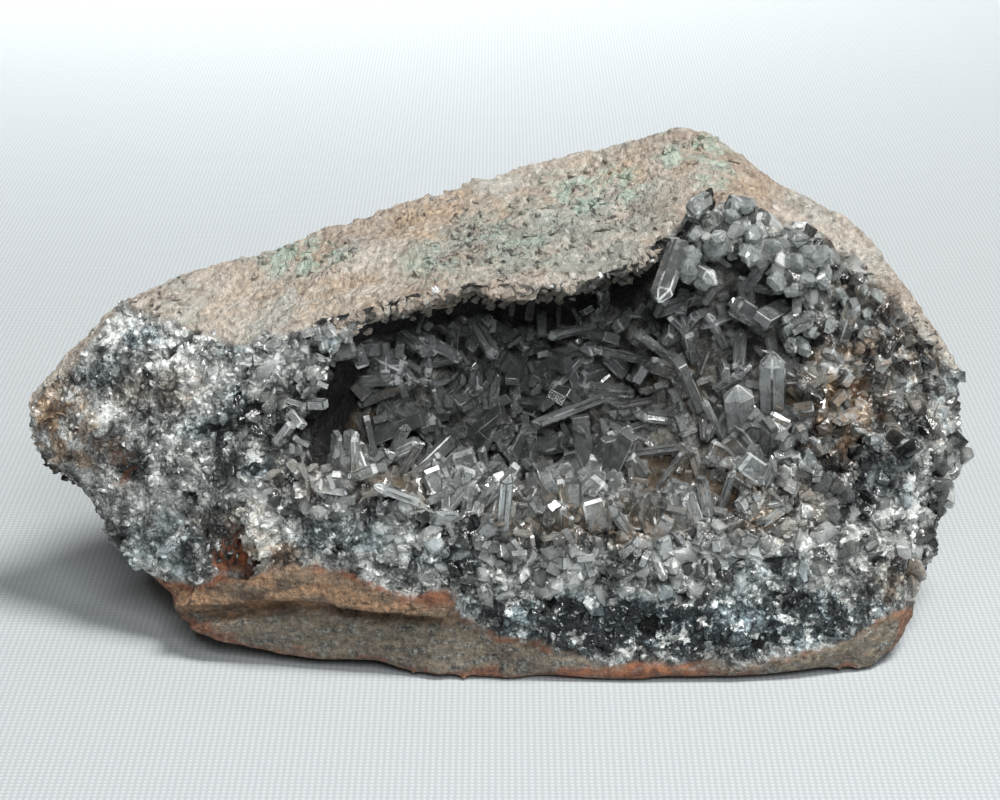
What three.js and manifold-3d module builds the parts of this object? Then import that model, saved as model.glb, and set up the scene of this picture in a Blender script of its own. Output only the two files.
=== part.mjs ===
// A broken geode of celestine, lying on a small flat spot. Millimetres, +Z up, +X to the right of the broken
// front face, -Y towards whoever looks into the hollow. The rock is one solid; the crystals that line its
// hollow are a second one, a crust that fits the hollow with a hairline gap.
//
// The form is drawn as it is seen from one viewing point in front of the specimen. A place is given by how far
// it lies to the right (u) and up (w) in a plane through the middle of the specimen, and how far it comes
// forward of that plane (t).

import * as THREE from "three";
import { mergeVertices } from "three/addons/utils/BufferGeometryUtils.js";
import Module from "manifold-3d";

const wasm = await Module();
wasm.setup();

// Driving dimensions
const VIEW_DISTANCE = 600;
const VIEW_PITCH = THREE.MathUtils.degToRad(16);
const VIEW_HEIGHT = 36; // height above the table of the point that is looked at
const HULL_DETAIL = 10; // subdivisions of the rock's faceted hull
const TABLE_CUT = 0.6; // what is ground off the lowest points, so that the specimen rests flat
const WALL_BULGE = 4.5; // how far the broken wall swells between lip and base
const HOLLOW_BACK = -3; // how far forward of the middle plane the deepest part of the hollow is
const LIP_UNDERCUT = 5; // how far the hollow's roof rises behind the lip
const MOUTH_RAGGED = 1.6; // how far the edge of the mouth strays from its line
const WAY_OUT = 14; // how far the space of the hollow runs out past the broken front
const RIGHT_RISE = 12; // how much shallower the hollow is at its right end
const HOLLOW_LUMPS = 3.5; // how far its back swells and sinks
const HOLLOW_DETAIL = 5; // subdivisions of the hollow's faceted lining
const CRUST_GAP = 0.35; // hairline gap between crust and rock
const CRUST_THICKNESS = 2.8;
const WALL_LUMPS = 36; // coarse grains that stand out of the broken wall
const CRUST_CRYSTALS = 46; // crystals scattered over the hollow, besides the chosen ones

// The outline seen from the viewing point, clockwise from the nose at the left: right, up
const MIDDLE = [2, -4];
const OUTLINE = [
  [-81, -4], [-80, 0], [-77.5, 4], [-74, 8], [-70, 11.5], [-67, 14], [-64, 17], [-60, 19], [-54, 21.8],
  [-48.5, 23.3], [-43, 24.5], [-37.5, 26.2], [-33, 28], [-27, 30.3], [-22, 32.5], [-16.5, 34.6],
  [-11.5, 36.4],
  [-6.5, 38], [-0.5, 39.2], [4.5, 40.7], [9.5, 41.9], [15.5, 41.5], [20.5, 42.6], [25, 44], [28, 45.6],
  [32, 46.2], [35, 44.6], [38.7, 42.7], [41.2, 40.3], [45.6, 37.3], [49.4, 35.4], [52, 33.4], [56.5, 32.2],
  [60, 30.3], [62.6, 27], [64.7, 24.3], [67, 21], [69.3, 18], [73, 14], [76, 9.4], [78.7, 5.6], [79.7, 2],
  [78.3, -0.3], [77.7, -2.4], [79, -5.8], [79.7, -8.5], [78.7, -12], [76.3, -15.3], [74.6, -17], [74, -19],
  [74.6, -22], [74, -25.2], [71.8, -27.6], [70.6, -31.5], [68.8, -35], [69.5, -38.3], [68.5, -42],
  [66, -45.3],
  [56.5, -47.3], [44.6, -48.5], [41.5, -49.2], [34, -48.5], [24.5, -48.7], [16.5, -48.5], [6.6, -47.7],
  [-3.4, -48.3], [-14, -47.7], [-19, -46], [-23.7, -44.8], [-34, -44.6], [-38.5, -44.4], [-44.8, -42.4],
  [-51.4, -39.7], [-55, -36.8], [-55.7, -33.9], [-60, -30], [-64.7, -26.6], [-67.8, -23.5], [-68.2, -19],
  [-68, -16.4], [-70, -15], [-73.5, -12.6], [-77.3, -10.2], [-80, -7.7],
];
// Depth of that outline: right, forward
const TOP_EDGE_DEPTH = [[-81, 3], [-64, 3], [-42, 0], [-12, -2], [15, -3], [32, 0], [42, 5], [65, 6], [80, 1]];
const BOTTOM_EDGE_DEPTH = [
  [-81, 7], [-68, 14], [-60, 17], [-51, 20], [-38, 25], [-14, 29], [16, 30], [42, 31], [57, 28],
  [66, 25], [69, 18],
  [74, 12], [80, 1],
];
// The lip, where the rind on top breaks down to the grey wall: right, up, forward
const LIP = [
  [-81, -2, 9], [-64, 16.2, 14], [-58, 13.3, 20], [-51, 11, 24], [-45, 9.5, 28], [-29, 12.8, 34],
  [-14, 16.5, 37],
  [-5, 18.5, 38], [5, 17.8, 38], [14, 18.5, 37.5], [24, 22.8, 36], [30, 29, 32], [34, 34.5, 25],
  [42, 33.5, 22],
  [51, 29.4, 20], [60, 24, 17], [65, 18.8, 13], [72, 11.9, 8], [78, 4, 4], [80, 1, 1],
];
// The mouth of the hollow: right, up, and the point inside it towards which the hollow closes
const MOUTH = [
  [-28, 9.5], [-22, 13.5], [-13.5, 16.2], [-5, 18.2], [5, 17.7], [13.6, 18.4], [23.8, 22.5],
  [29, 27], [38, 27],
  [46, 24], [52.8, 16], [56.2, 6.8], [54.5, -3.4], [49.4, -11.9], [42.6, -18.7], [32.3, -22], [20.4, -23.5],
  [6.8, -22.6], [-5, -20], [-17, -16.2], [-27.2, -13.4], [-33.4, -10], [-34.4, -5], [-30.6, 1],
];
const MOUTH_MIDDLE = [7, 5];
// Beds of the host rock under the wall: right, up along each, then how far it stands out and its height.
// One that stands in is a groove.
const BEDS = [
  { line: [[-52, -32.4], [-47, -32.6], [-38, -31.4], [-27, -32.6], [-15, -34.6], [-9, -35]], out: 1.8, high: 4.6 },
  { line: [[-58, -36], [-48, -37.8], [-36, -35.4], [-22, -36.8], [-9, -38.2], [-3, -41]], out: -3, high: 2.6 },
  { line: [[2, -43.6], [16, -46.4], [30, -46.2], [48, -45.4], [62, -41], [68, -37.6]], out: 1.6, high: 2.6 },
];
// Crystals of the hollow that are told apart from a step away. Tip and foot: right, up; then width,
// thickness, and how much nearer the tip is than the foot.
const CHOSEN_CRYSTALS = [
  { tip: [4.7, -15.3], foot: [16.5, -8.5], width: 4, thick: 2.6, nearer: 5 },
  { tip: [4.8, -4.6], foot: [20, 1.2], width: 3.6, thick: 2, nearer: 5 },
  { tip: [16, 8.6], foot: [28, 6], width: 2.2, thick: 1.6, nearer: 2 },
  { tip: [8.2, 10.8], foot: [15.8, 12.6], width: 2.3, thick: 1.8, nearer: 5 },
  { tip: [-0.8, 7.2], foot: [-4.8, 14], width: 2.8, thick: 2, nearer: 5 },
  { tip: [1.2, -12.8], foot: [0.4, -22], width: 2.5, thick: 2, nearer: 2 },
  { tip: [-15.9, -4.2], foot: [-18.5, -10], width: 2.5, thick: 1.4, nearer: 3 },
  { tip: [-25.3, -5], foot: [-25.2, -11], width: 3.1, thick: 1.4, nearer: 3 },
  { tip: [-13.6, -7.6], foot: [-17, -12.6], width: 1.8, thick: 1.2, nearer: 3 },
  { tip: [-3.2, -8], foot: [-2.2, -14], width: 1.9, thick: 1.2, nearer: 2 },
  { tip: [-21.5, -14.6], foot: [-14, -17.4], width: 2.6, thick: 1.6, nearer: 1 },
  { tip: [13, -4.2], foot: [15.6, -9.6], width: 3, thick: 1.4, nearer: 4 },
  { tip: [11.5, -15], foot: [16, -11], width: 1.9, thick: 1.4, nearer: 4 },
  { tip: [23, 11.7], foot: [30, 6.2], width: 2.8, thick: 1.7, nearer: 3 },
  { tip: [35.4, 14.6], foot: [38.2, 9], width: 2.2, thick: 1.7, nearer: 3 },
  { tip: [40.4, 2.5], foot: [41, -4.5], width: 5.6, thick: 3.4, nearer: 2 },
  { tip: [46.4, 8.2], foot: [46.4, -1.8], width: 5, thick: 2.8, nearer: 2 },
  { tip: [32, -8], foot: [21.5, -9.4], width: 2.6, thick: 1.8, nearer: 3 },
  { tip: [31.4, -8.6], foot: [27, -14.6], width: 2, thick: 1.2, nearer: 1 },
  { tip: [34.6, 0], foot: [37.8, -6.4], width: 2.1, thick: 1.4, nearer: 2 },
  { tip: [39.6, -12.2], foot: [37.6, -18.6], width: 2, thick: 1.4, nearer: 2 },
  { tip: [26.8, -15.6], foot: [37, -17.2], width: 2.6, thick: 1.6, nearer: 1 },
  { tip: [27, 16.8], foot: [30.4, 26.4], width: 4.2, thick: 3, nearer: 6 },
  { tip: [50.6, 19.6], foot: [50.6, 28], width: 7.4, thick: 4.6, nearer: 3 },
  { tip: [41, 26], foot: [39, 33], width: 6.4, thick: 4.4, nearer: 3 },
  { tip: [57, 16], foot: [53, 10], width: 4.6, thick: 3, nearer: 3 },
  { tip: [36.5, 20], foot: [37.5, 27.5], width: 5.6, thick: 3.6, nearer: 3 },
  { tip: [61.6, 13.6], foot: [60, 18], width: 3.8, thick: 2.6, nearer: 2 },
  { tip: [-8, 13.4], foot: [-8.4, 5.6], width: 2.4, thick: 1.4, nearer: 3 },
  { tip: [-11, 9.6], foot: [-6.2, 4.4], width: 2, thick: 1.3, nearer: 4 },
];

const forward = new THREE.Vector3(0, Math.cos(VIEW_PITCH), -Math.sin(VIEW_PITCH));
const upward = new THREE.Vector3(0, Math.sin(VIEW_PITCH), Math.cos(VIEW_PITCH));
const rightward = new THREE.Vector3(1, 0, 0);
const eye = new THREE.Vector3(0, 0, VIEW_HEIGHT).addScaledVector(forward, -VIEW_DISTANCE);

// The place at u to the right, w up and t forward, seen from the viewing point
function seen(u, w, t) {
  const ray = new THREE.Vector3().addScaledVector(forward, VIEW_DISTANCE);
  ray.addScaledVector(rightward, u).addScaledVector(upward, w);
  return ray.multiplyScalar(1 - t / VIEW_DISTANCE).add(eye);
}

// The same the other way round: where a place is seen
function sighting(place) {
  const ray = place.clone().sub(eye);
  const away = ray.dot(forward);
  const scale = VIEW_DISTANCE / away;
  return { u: ray.dot(rightward) * scale, w: ray.dot(upward) * scale, t: VIEW_DISTANCE - away };
}

// Repeatable random numbers
function randomFrom(seed) {
  let state = seed;
  return () => {
    state = (state * 1664525 + 1013904223) % 4294967296;
    return state / 4294967296;
  };
}

// Smooth noise between -1 and 1, with bumps about one unit across
function noise(x, y, z) {
  const corner = (i, j, k) => {
    const scrambled = Math.sin(i * 127.1 + j * 311.7 + k * 74.7) * 43758.5453;
    return 2 * (scrambled - Math.floor(scrambled)) - 1;
  };
  const [i, j, k] = [x, y, z].map(Math.floor);
  const [a, b, c] = [x - i, y - j, z - k].map((f) => f * f * (3 - 2 * f));
  const mix = THREE.MathUtils.lerp;
  const edge = (dj, dk) => mix(corner(i, j + dj, k + dk), corner(i + 1, j + dj, k + dk), a);
  return mix(mix(edge(0, 0), edge(1, 0), b), mix(edge(0, 1), edge(1, 1), b), c);
}

// A place pushed about by noise: bumps of that size across, and that far
function roughen(place, size, reach, offset) {
  const p = place.clone().divideScalar(size).addScalar(offset);
  const push = new THREE.Vector3(noise(p.x, p.y, p.z), noise(p.y + 9, p.z, p.x), noise(p.z, p.x + 5, p.y));
  return place.addScaledVector(push, reach);
}

// The value of a line of points at x, column by column
function along(points, x, column = 1) {
  const last = points.length - 1;
  if (x <= points[0][0]) return points[0][column];
  if (x >= points[last][0]) return points[last][column];
  const n = points.findIndex((p) => p[0] > x);
  const [from, to] = [points[n - 1], points[n]];
  return THREE.MathUtils.mapLinear(x, from[0], to[0], from[column], to[column]);
}

// Where the outline is crossed going straight up and straight down at u
function outlineSpan(u) {
  const hits = [];
  OUTLINE.forEach(([u0, w0], n) => {
    const [u1, w1] = OUTLINE[(n + 1) % OUTLINE.length];
    if (u0 === u1 || (u0 - u) * (u1 - u) > 0) return;
    hits.push(THREE.MathUtils.mapLinear(u, u0, u1, w0, w1));
  });
  return hits.length ? [Math.min(...hits), Math.max(...hits)] : [0, 0];
}

// How far a closed line of points is from a point inside it, in a direction
function reachOf(points, middle, angle) {
  const [du, dw] = [Math.cos(angle), Math.sin(angle)];
  let reach = 0;
  points.forEach(([u0, w0], n) => {
    const [u1, w1] = points[(n + 1) % points.length];
    const [au, aw, bu, bw] = [u0 - middle[0], w0 - middle[1], u1 - u0, w1 - w0];
    const det = bu * dw - bw * du;
    if (Math.abs(det) < 1e-9) return;
    const share = (aw * du - au * dw) / det;
    const distance = (bu * aw - bw * au) / det;
    if (share >= 0 && share <= 1 && distance > reach) reach = distance;
  });
  return reach;
}

function edgeDepth(u, w) {
  const [low, high] = outlineSpan(THREE.MathUtils.clamp(u, -80, 79));
  const rise = THREE.MathUtils.clamp((w - low) / Math.max(high - low, 1), 0, 1);
  return THREE.MathUtils.lerp(along(BOTTOM_EDGE_DEPTH, u), along(TOP_EDGE_DEPTH, u), rise);
}

// How far forward the unbroken front comes: the rind slopes back above the lip, the wall bulges under it
function frontDepth(u, w) {
  const [low, high] = outlineSpan(THREE.MathUtils.clamp(u, -80, 79));
  const lip = Math.min(along(LIP, u), high - 0.5);
  const lipDepth = along(LIP, u, 2);
  if (w >= lip) {
    const rise = THREE.MathUtils.clamp((w - lip) / (high - lip), 0, 1);
    return THREE.MathUtils.lerp(lipDepth, along(TOP_EDGE_DEPTH, u), rise);
  }
  const drop = THREE.MathUtils.clamp((lip - w) / Math.max(lip - low, 1), 0, 1);
  const flat = THREE.MathUtils.lerp(lipDepth, along(BOTTOM_EDGE_DEPTH, u), drop);
  return flat + WALL_BULGE * Math.sin(Math.PI * drop);
}

// How far back the unseen back reaches at u, w: the nearest of a few flat breaks, met by the line of sight
const BACK_BREAKS = [
  { normal: [0, 0, -1], through: [0, 0, 0] },
  { normal: [0, 0.2, -1], through: [0, 13, 0] },
  { normal: [-0.27, 0, -1], through: [-28, 0, 0] },
  { normal: [0.12, 0, -1], through: [42, 0, 0] },
  { normal: [0.1, 1, -0.1], through: [0, 43, 30] },
  { normal: [-0.35, 1, 0.1], through: [-20, 38, 30] },
  { normal: [-0.1, 0.62, 0.8], through: [20, 20, 74] },
  { normal: [-0.8, 0.6, -0.1], through: [-62, 21, 30] },
  { normal: [0.9, 0.42, 0.1], through: [72, 16, 30] },
  { normal: [-0.32, 0.4, 0.85], through: [-30, 22, 56] },
];
function backDepth(u, w) {
  const ray = seen(u, w, 0).sub(eye).divideScalar(VIEW_DISTANCE);
  const reaches = BACK_BREAKS.map(({ normal, through }) => {
    const out = new THREE.Vector3(...normal).normalize();
    const facing = out.dot(ray);
    return facing > 0.02 ? out.dot(new THREE.Vector3(...through).sub(eye)) / facing : Infinity;
  });
  return VIEW_DISTANCE - Math.min(...reaches);
}

// A closed three.js geometry as a solid to cut and join
function solid(geometry) {
  geometry.deleteAttribute("normal");
  geometry.deleteAttribute("uv");
  const merged = mergeVertices(geometry, 1e-4);
  return new wasm.Manifold(new wasm.Mesh({
    numProp: 3,
    vertProperties: new Float32Array(merged.attributes.position.array),
    triVerts: new Uint32Array(merged.index.array),
  }));
}

function geometryOf(manifold) {
  const mesh = manifold.getMesh();
  const geometry = new THREE.BufferGeometry();
  geometry.setAttribute("position", new THREE.BufferAttribute(new Float32Array(mesh.vertProperties), 3));
  geometry.setIndex(new THREE.BufferAttribute(new Uint32Array(mesh.triVerts), 1));
  return geometry;
}

// A faceted ball whose every corner is moved by a function of its direction
function shapedBall(detail, place) {
  const ball = new THREE.IcosahedronGeometry(1, detail);
  const corners = ball.attributes.position;
  const direction = new THREE.Vector3();
  for (let n = 0; n < corners.count; n++) {
    direction.fromBufferAttribute(corners, n).normalize();
    const at = place(direction);
    corners.setXYZ(n, at.x, at.y, at.z);
  }
  return solid(ball);
}

// The unhollowed hull of the specimen. A direction of the ball gives an angle round the line of sight, and how
// far in from the outline: the front half follows the front, the other half the back.
function hull() {
  return shapedBall(HULL_DETAIL, (direction) => {
    const angle = Math.atan2(direction.z, direction.x);
    const facing = -direction.y;
    const out = Math.hypot(direction.x, direction.z);
    const reach = reachOf(OUTLINE, MIDDLE, angle) * Math.pow(out, facing > 0 ? 0.9 : 0.6);
    const [u, w] = [MIDDLE[0] + reach * Math.cos(angle), MIDDLE[1] + reach * Math.sin(angle)];
    const edge = edgeDepth(u, w);
    const full = facing > 0 ? frontDepth(u, w) : Math.min(backDepth(u, w), edge);
    const share = facing > 0 ? Math.pow(facing, 0.4) : 1 - Math.pow(1 + facing, 2.5);
    const t = edge + (full - edge) * share;
    const at = seen(u, w, t);
    const inWall = facing > 0 && w < along(LIP, u) - 1;
    const behind = facing < 0 ? Math.min(1, -3 * facing) : 0;
    roughen(at, 26, 2.6 * behind, 1.7);
    roughen(at, 13, 1.3, 3.3);
    return roughen(at, 5.5, inWall ? 1.5 : 0.8, 7.7);
  });
}

// A place on the hollow's lining, drawn in by some inset all round. The half of the ball that faces the viewer
// becomes the way out through the broken front, a little wider there where the crust is to thin out.
function liningPlace(direction, inset, mouthInset) {
  const angle = Math.atan2(direction.z, direction.x);
  const out = Math.hypot(direction.x, direction.z);
  const deep = Math.max(0, direction.y);
  const within = THREE.MathUtils.lerp(mouthInset, inset, THREE.MathUtils.smoothstep(deep, 0.02, 0.3));
  const ragged = MOUTH_RAGGED * noise(6 * Math.cos(angle), 6 * Math.sin(angle), 2.5);
  const rim = reachOf(MOUTH, MOUTH_MIDDLE, angle) + ragged;
  const [uRim, wRim] = [MOUTH_MIDDLE[0] + rim * Math.cos(angle), MOUTH_MIDDLE[1] + rim * Math.sin(angle)];
  const reach = (rim - within) * (direction.y > 0 ? out : Math.sqrt(out));
  const u = MOUTH_MIDDLE[0] + reach * Math.cos(angle);
  const roof = LIP_UNDERCUT * 2 * deep * out * Math.max(0, Math.sin(angle));
  const w = MOUTH_MIDDLE[1] + reach * Math.sin(angle) + roof;
  const front = frontDepth(uRim, wRim);
  const shallow = RIGHT_RISE * THREE.MathUtils.smoothstep(u, 16, 36);
  const lumpy = HOLLOW_LUMPS * noise(u / 11, w / 11, 4.2) * Math.min(1, 2 * deep);
  const back = HOLLOW_BACK + shallow + lumpy + within * deep;
  const wayOut = WAY_OUT * Math.sqrt(Math.max(0, -direction.y));
  return seen(u, w, front + wayOut + (back - front) * deep);
}

function hollow(inset, mouthInset) {
  return shapedBall(HOLLOW_DETAIL, (direction) => liningPlace(direction, inset, mouthInset));
}

// The bar along a bed, to be joined to the front or cut out of it
function bed({ line, out, high }) {
  const deep = Math.abs(out);
  const sunk = ([u, w]) => seen(u, w, frontDepth(u, w) - 0.3 * deep);
  const route = new THREE.CatmullRomCurve3(line.map(sunk));
  const section = new THREE.Shape([
    new THREE.Vector2(-high / 2, -deep),
    new THREE.Vector2(high / 2, -deep),
    new THREE.Vector2(high * 0.42, deep * 0.5),
    new THREE.Vector2(0, deep),
    new THREE.Vector2(-high * 0.42, deep * 0.5),
  ]);
  const settings = { steps: 2 * line.length, bevelEnabled: false, extrudePath: route };
  return solid(new THREE.ExtrudeGeometry(section, settings));
}

// Half the section of a crystal, as shares of its width and thickness: a bar with square or bevelled sides
const SQUARE = [[-1, -1], [1, -1]];
const BEVELLED = [[-1, 0], [-0.62, -1], [0.62, -1]];

// One celestine crystal: a flattened prism along +Z from the origin, closed by a chisel of sloping faces
function crystalGeometry(length, width, thick, half) {
  const ring = [...half, ...half.map(([x, y]) => [-x, -y])].map(([x, y]) => [x * width / 2, y * thick / 2]);
  const sides = ring.length;
  const shoulder = length - 0.45 * width;
  const corners = [
    ...ring.map(([x, y]) => [x, y, 0]),
    ...ring.map(([x, y]) => [x, y, shoulder]),
    [-width * 0.2, 0, length],
    [width * 0.2, 0, length],
  ];
  const [left, right] = [2 * sides, 2 * sides + 1];
  const faces = [];
  ring.forEach(([x], n) => {
    const next = (n + 1) % sides;
    const across = ring[next][0];
    const end = x + across > 0 ? right : left;
    faces.push([n, next, next + sides], [n, next + sides, n + sides]);
    if (x < 0 && across > 0) faces.push([n + sides, next + sides, right], [n + sides, right, left]);
    else if (x > 0 && across < 0) faces.push([n + sides, next + sides, left], [n + sides, left, right]);
    else faces.push([n + sides, next + sides, end]);
    if (n > 0 && n < sides - 1) faces.push([0, next, n]);
  });
  const geometry = new THREE.BufferGeometry();
  geometry.setAttribute("position", new THREE.Float32BufferAttribute(corners.flat(), 3));
  return geometry.setIndex(faces.flat());
}

// That crystal stood at a place, pointing somewhere and turned about itself
function crystal(foot, direction, turn, length, width, thick, half = SQUARE) {
  const stand = new THREE.Quaternion().setFromUnitVectors(new THREE.Vector3(0, 0, 1), direction);
  const spin = new THREE.Quaternion().setFromAxisAngle(new THREE.Vector3(0, 0, 1), turn);
  const geometry = crystalGeometry(length, width, thick, half).applyQuaternion(spin).applyQuaternion(stand);
  return solid(geometry.translate(foot.x, foot.y, foot.z));
}

function randomDirection(random) {
  const rise = 2 * random() - 1;
  const angle = 2 * Math.PI * random();
  const flat = Math.sqrt(1 - rise * rise);
  return new THREE.Vector3(flat * Math.cos(angle), flat * Math.sin(angle), rise);
}

// The direction of the ball that the hollow's lining has at u, w, or null outside the mouth
function liningDirection(u, w) {
  const angle = Math.atan2(w - MOUTH_MIDDLE[1], u - MOUTH_MIDDLE[0]);
  const out = Math.hypot(u - MOUTH_MIDDLE[0], w - MOUTH_MIDDLE[1]) / reachOf(MOUTH, MOUTH_MIDDLE, angle);
  if (out > 0.97) return null;
  return new THREE.Vector3(out * Math.cos(angle), Math.sqrt(1 - out * out), out * Math.sin(angle));
}

// The lining's own outward direction there, towards the open hollow
function liningNormal(direction) {
  const step = 0.05;
  const side = new THREE.Vector3(-direction.z, 0, direction.x).normalize();
  const rise = side.clone().cross(direction);
  const at = (shift) => liningPlace(direction.clone().addScaledVector(shift, step).normalize(), 0, 0);
  const across = at(side).sub(liningPlace(direction, 0, 0));
  return across.cross(at(rise).sub(liningPlace(direction, 0, 0))).normalize();
}

// Coarse grains of the broken wall, sunk into it for most of their size. They are coarsest at the upper right.
function wallLumps() {
  const random = randomFrom(11);
  const lumps = [];
  while (lumps.length < WALL_LUMPS) {
    const [u, w] = [-76 + 152 * random(), -44 + 76 * random()];
    const [low, high] = outlineSpan(u);
    const coarse = THREE.MathUtils.smoothstep(u + w, 20, 60);
    const size = 4.5 + 3 * random() + 3 * coarse;
    const fromMiddle = Math.hypot(u - MIDDLE[0], w - MIDDLE[1]);
    const toEdge = reachOf(OUTLINE, MIDDLE, Math.atan2(w - MIDDLE[1], u - MIDDLE[0])) - fromMiddle;
    const direction = randomDirection(random).addScaledVector(forward, -0.9).normalize();
    const turn = Math.PI * random();
    const inWall = w < Math.min(along(LIP, u), high) - 2 && w > low + (u < -5 ? 16 : 8);
    const inMouth = liningDirection(u, w) !== null;
    const kept = random() < 0.45 + coarse;
    if (!inWall || inMouth || !kept || toEdge < 0.7 * size) continue;
    const place = seen(u, w, frontDepth(u, w) - 0.6 * size);
    lumps.push(crystal(place, direction, turn, size, size * 0.85, size * 0.65));
  }
  return lumps;
}

// The chosen crystals, either those in the hollow or those on the wall beside it
function chosenCrystals(inHollow) {
  const random = randomFrom(5);
  return CHOSEN_CRYSTALS.flatMap(({ tip, foot, width, thick, nearer }) => {
    const direction = liningDirection(...foot);
    const turn = 0.9 * (random() - 0.5);
    if ((direction !== null) !== inHollow) return [];
    const depth = inHollow
      ? sighting(liningPlace(direction, CRUST_THICKNESS, CRUST_THICKNESS)).t
      : frontDepth(...foot);
    const from = seen(...foot, depth - 1.5);
    const pointing = seen(...tip, depth + nearer).sub(from);
    const length = pointing.length();
    return [crystal(from, pointing.normalize(), turn, length, width, thick, BEVELLED)];
  });
}

function scatteredCrystals() {
  const random = randomFrom(23);
  const crystals = [];
  for (let n = 0; n < CRUST_CRYSTALS; n++) {
    const [out, angle] = [Math.pow(random(), 0.6), 2 * Math.PI * random()];
    const deep = Math.sqrt(1 - out * out);
    const direction = new THREE.Vector3(out * Math.cos(angle), deep, out * Math.sin(angle));
    const [length, share, turn] = [5 + 6 * random(), 0.28 + 0.24 * random(), Math.PI * random()];
    const lean = randomDirection(random);
    const foot = liningPlace(direction, CRUST_THICKNESS - 0.8, CRUST_THICKNESS - 0.8);
    const pointing = liningNormal(direction).addScaledVector(lean, 0.7).addScaledVector(forward, -0.3);
    const width = share * length;
    crystals.push(crystal(foot, pointing.normalize(), turn, length, width, 0.6 * width));
  }
  return crystals;
}

function slabUnderTable() {
  const slab = new THREE.BoxGeometry(400, 400, 40);
  return solid(slab.translate(0, 0, TABLE_CUT - 20));
}

// The largest connected body of a solid, so that no chip of a cut floats free
function mainBody(manifold) {
  const geometry = geometryOf(manifold);
  const index = geometry.index.array;
  const leader = Array.from({ length: geometry.attributes.position.count }, (_, n) => n);
  const leaderOf = (n) => {
    while (leader[n] !== n) {
      leader[n] = leader[leader[n]];
      n = leader[n];
    }
    return n;
  };
  for (let n = 0; n < index.length; n += 3) {
    leader[leaderOf(index[n + 1])] = leaderOf(index[n]);
    leader[leaderOf(index[n + 2])] = leaderOf(index[n]);
  }
  const sizes = new Map();
  index.forEach((n) => sizes.set(leaderOf(n), (sizes.get(leaderOf(n)) ?? 0) + 1));
  const main = [...sizes].reduce((best, entry) => (entry[1] > best[1] ? entry : best))[0];
  return geometry.setIndex([...index].filter((n) => leaderOf(n) === main));
}

function geodeRock(uncutHull) {
  const bumps = [...wallLumps(), ...chosenCrystals(false), ...BEDS.filter(({ out }) => out > 0).map(bed)];
  const lumpy = bumps.reduce((joined, bump) => joined.add(bump), uncutHull);
  const grooved = BEDS.filter(({ out }) => out < 0).map(bed).reduce((left, cut) => left.subtract(cut), lumpy);
  return grooved.subtract(hollow(0, 0)).subtract(slabUnderTable());
}

// The shell of the crust runs out at the mouth, where its inner side crosses the hollow's
function crystalCrust(uncutHull) {
  const shell = hollow(CRUST_GAP, CRUST_GAP).subtract(hollow(CRUST_THICKNESS, -0.6)).intersect(uncutHull);
  const crystals = [...chosenCrystals(true), ...scatteredCrystals()];
  const grown = crystals.reduce((joined, one) => joined.add(one), shell);
  return grown.intersect(hollow(CRUST_GAP, CRUST_GAP));
}

const rockMaterial = new THREE.MeshStandardMaterial({ color: 0x8f8a80, roughness: 0.85, metalness: 0 });
const crystalMaterial = new THREE.MeshStandardMaterial({ color: 0xb9c4c8, roughness: 0.15, metalness: 0 });

const specimen = new THREE.Group();
const uncutHull = hull();
const rockMesh = new THREE.Mesh(mainBody(geodeRock(uncutHull)), rockMaterial);
rockMesh.name = "geode_rock";
const crustMesh = new THREE.Mesh(mainBody(crystalCrust(uncutHull)), crystalMaterial);
crustMesh.name = "crystal_crust";
specimen.add(rockMesh, crustMesh);

// The origin is the middle of the specimen's box, at the table
const box = new THREE.Box3().setFromObject(specimen);
const middle = box.getCenter(new THREE.Vector3());
specimen.children.forEach((mesh) => mesh.position.set(-middle.x, -middle.y, -box.min.z));

export default specimen;
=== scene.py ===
import math

import bmesh
import bpy
import numpy as np
from bpy.props import FloatProperty, FloatVectorProperty, IntProperty, PointerProperty
from mathutils import Matrix, Quaternion, Vector
from mathutils.bvhtree import BVHTree


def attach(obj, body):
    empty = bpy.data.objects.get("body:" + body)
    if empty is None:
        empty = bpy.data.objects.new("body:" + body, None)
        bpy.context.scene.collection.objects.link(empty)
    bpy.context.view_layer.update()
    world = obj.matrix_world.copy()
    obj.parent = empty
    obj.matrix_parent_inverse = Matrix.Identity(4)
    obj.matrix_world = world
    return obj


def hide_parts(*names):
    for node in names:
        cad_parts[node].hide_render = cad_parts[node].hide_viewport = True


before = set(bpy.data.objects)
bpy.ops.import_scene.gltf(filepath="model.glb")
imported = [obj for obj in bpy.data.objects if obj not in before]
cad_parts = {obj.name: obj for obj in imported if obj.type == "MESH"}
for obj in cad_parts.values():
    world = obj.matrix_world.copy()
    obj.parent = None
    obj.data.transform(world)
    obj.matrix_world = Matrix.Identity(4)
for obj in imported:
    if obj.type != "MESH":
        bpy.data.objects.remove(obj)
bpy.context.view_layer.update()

bl_info = {
    "name": "Celestine Geode",
    "version": (1, 0, 0),
    "blender": (4, 5, 0),
    "location": "3D View > Sidebar > Celestine",
    "description": "Builds a broken celestine geode: its rind, wall and host rock, and its crystals",
    "category": "Object",
}

MM = 0.001
CELESTINE_IOR = 1.62
ROCK_IOR = 1.55
CROWDED = 4.0e6  # grains to the square metre before their spacing thins them
CORNER_GAP = 2e-6  # corners of the solids' triangles that are nearer than this are one

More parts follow.
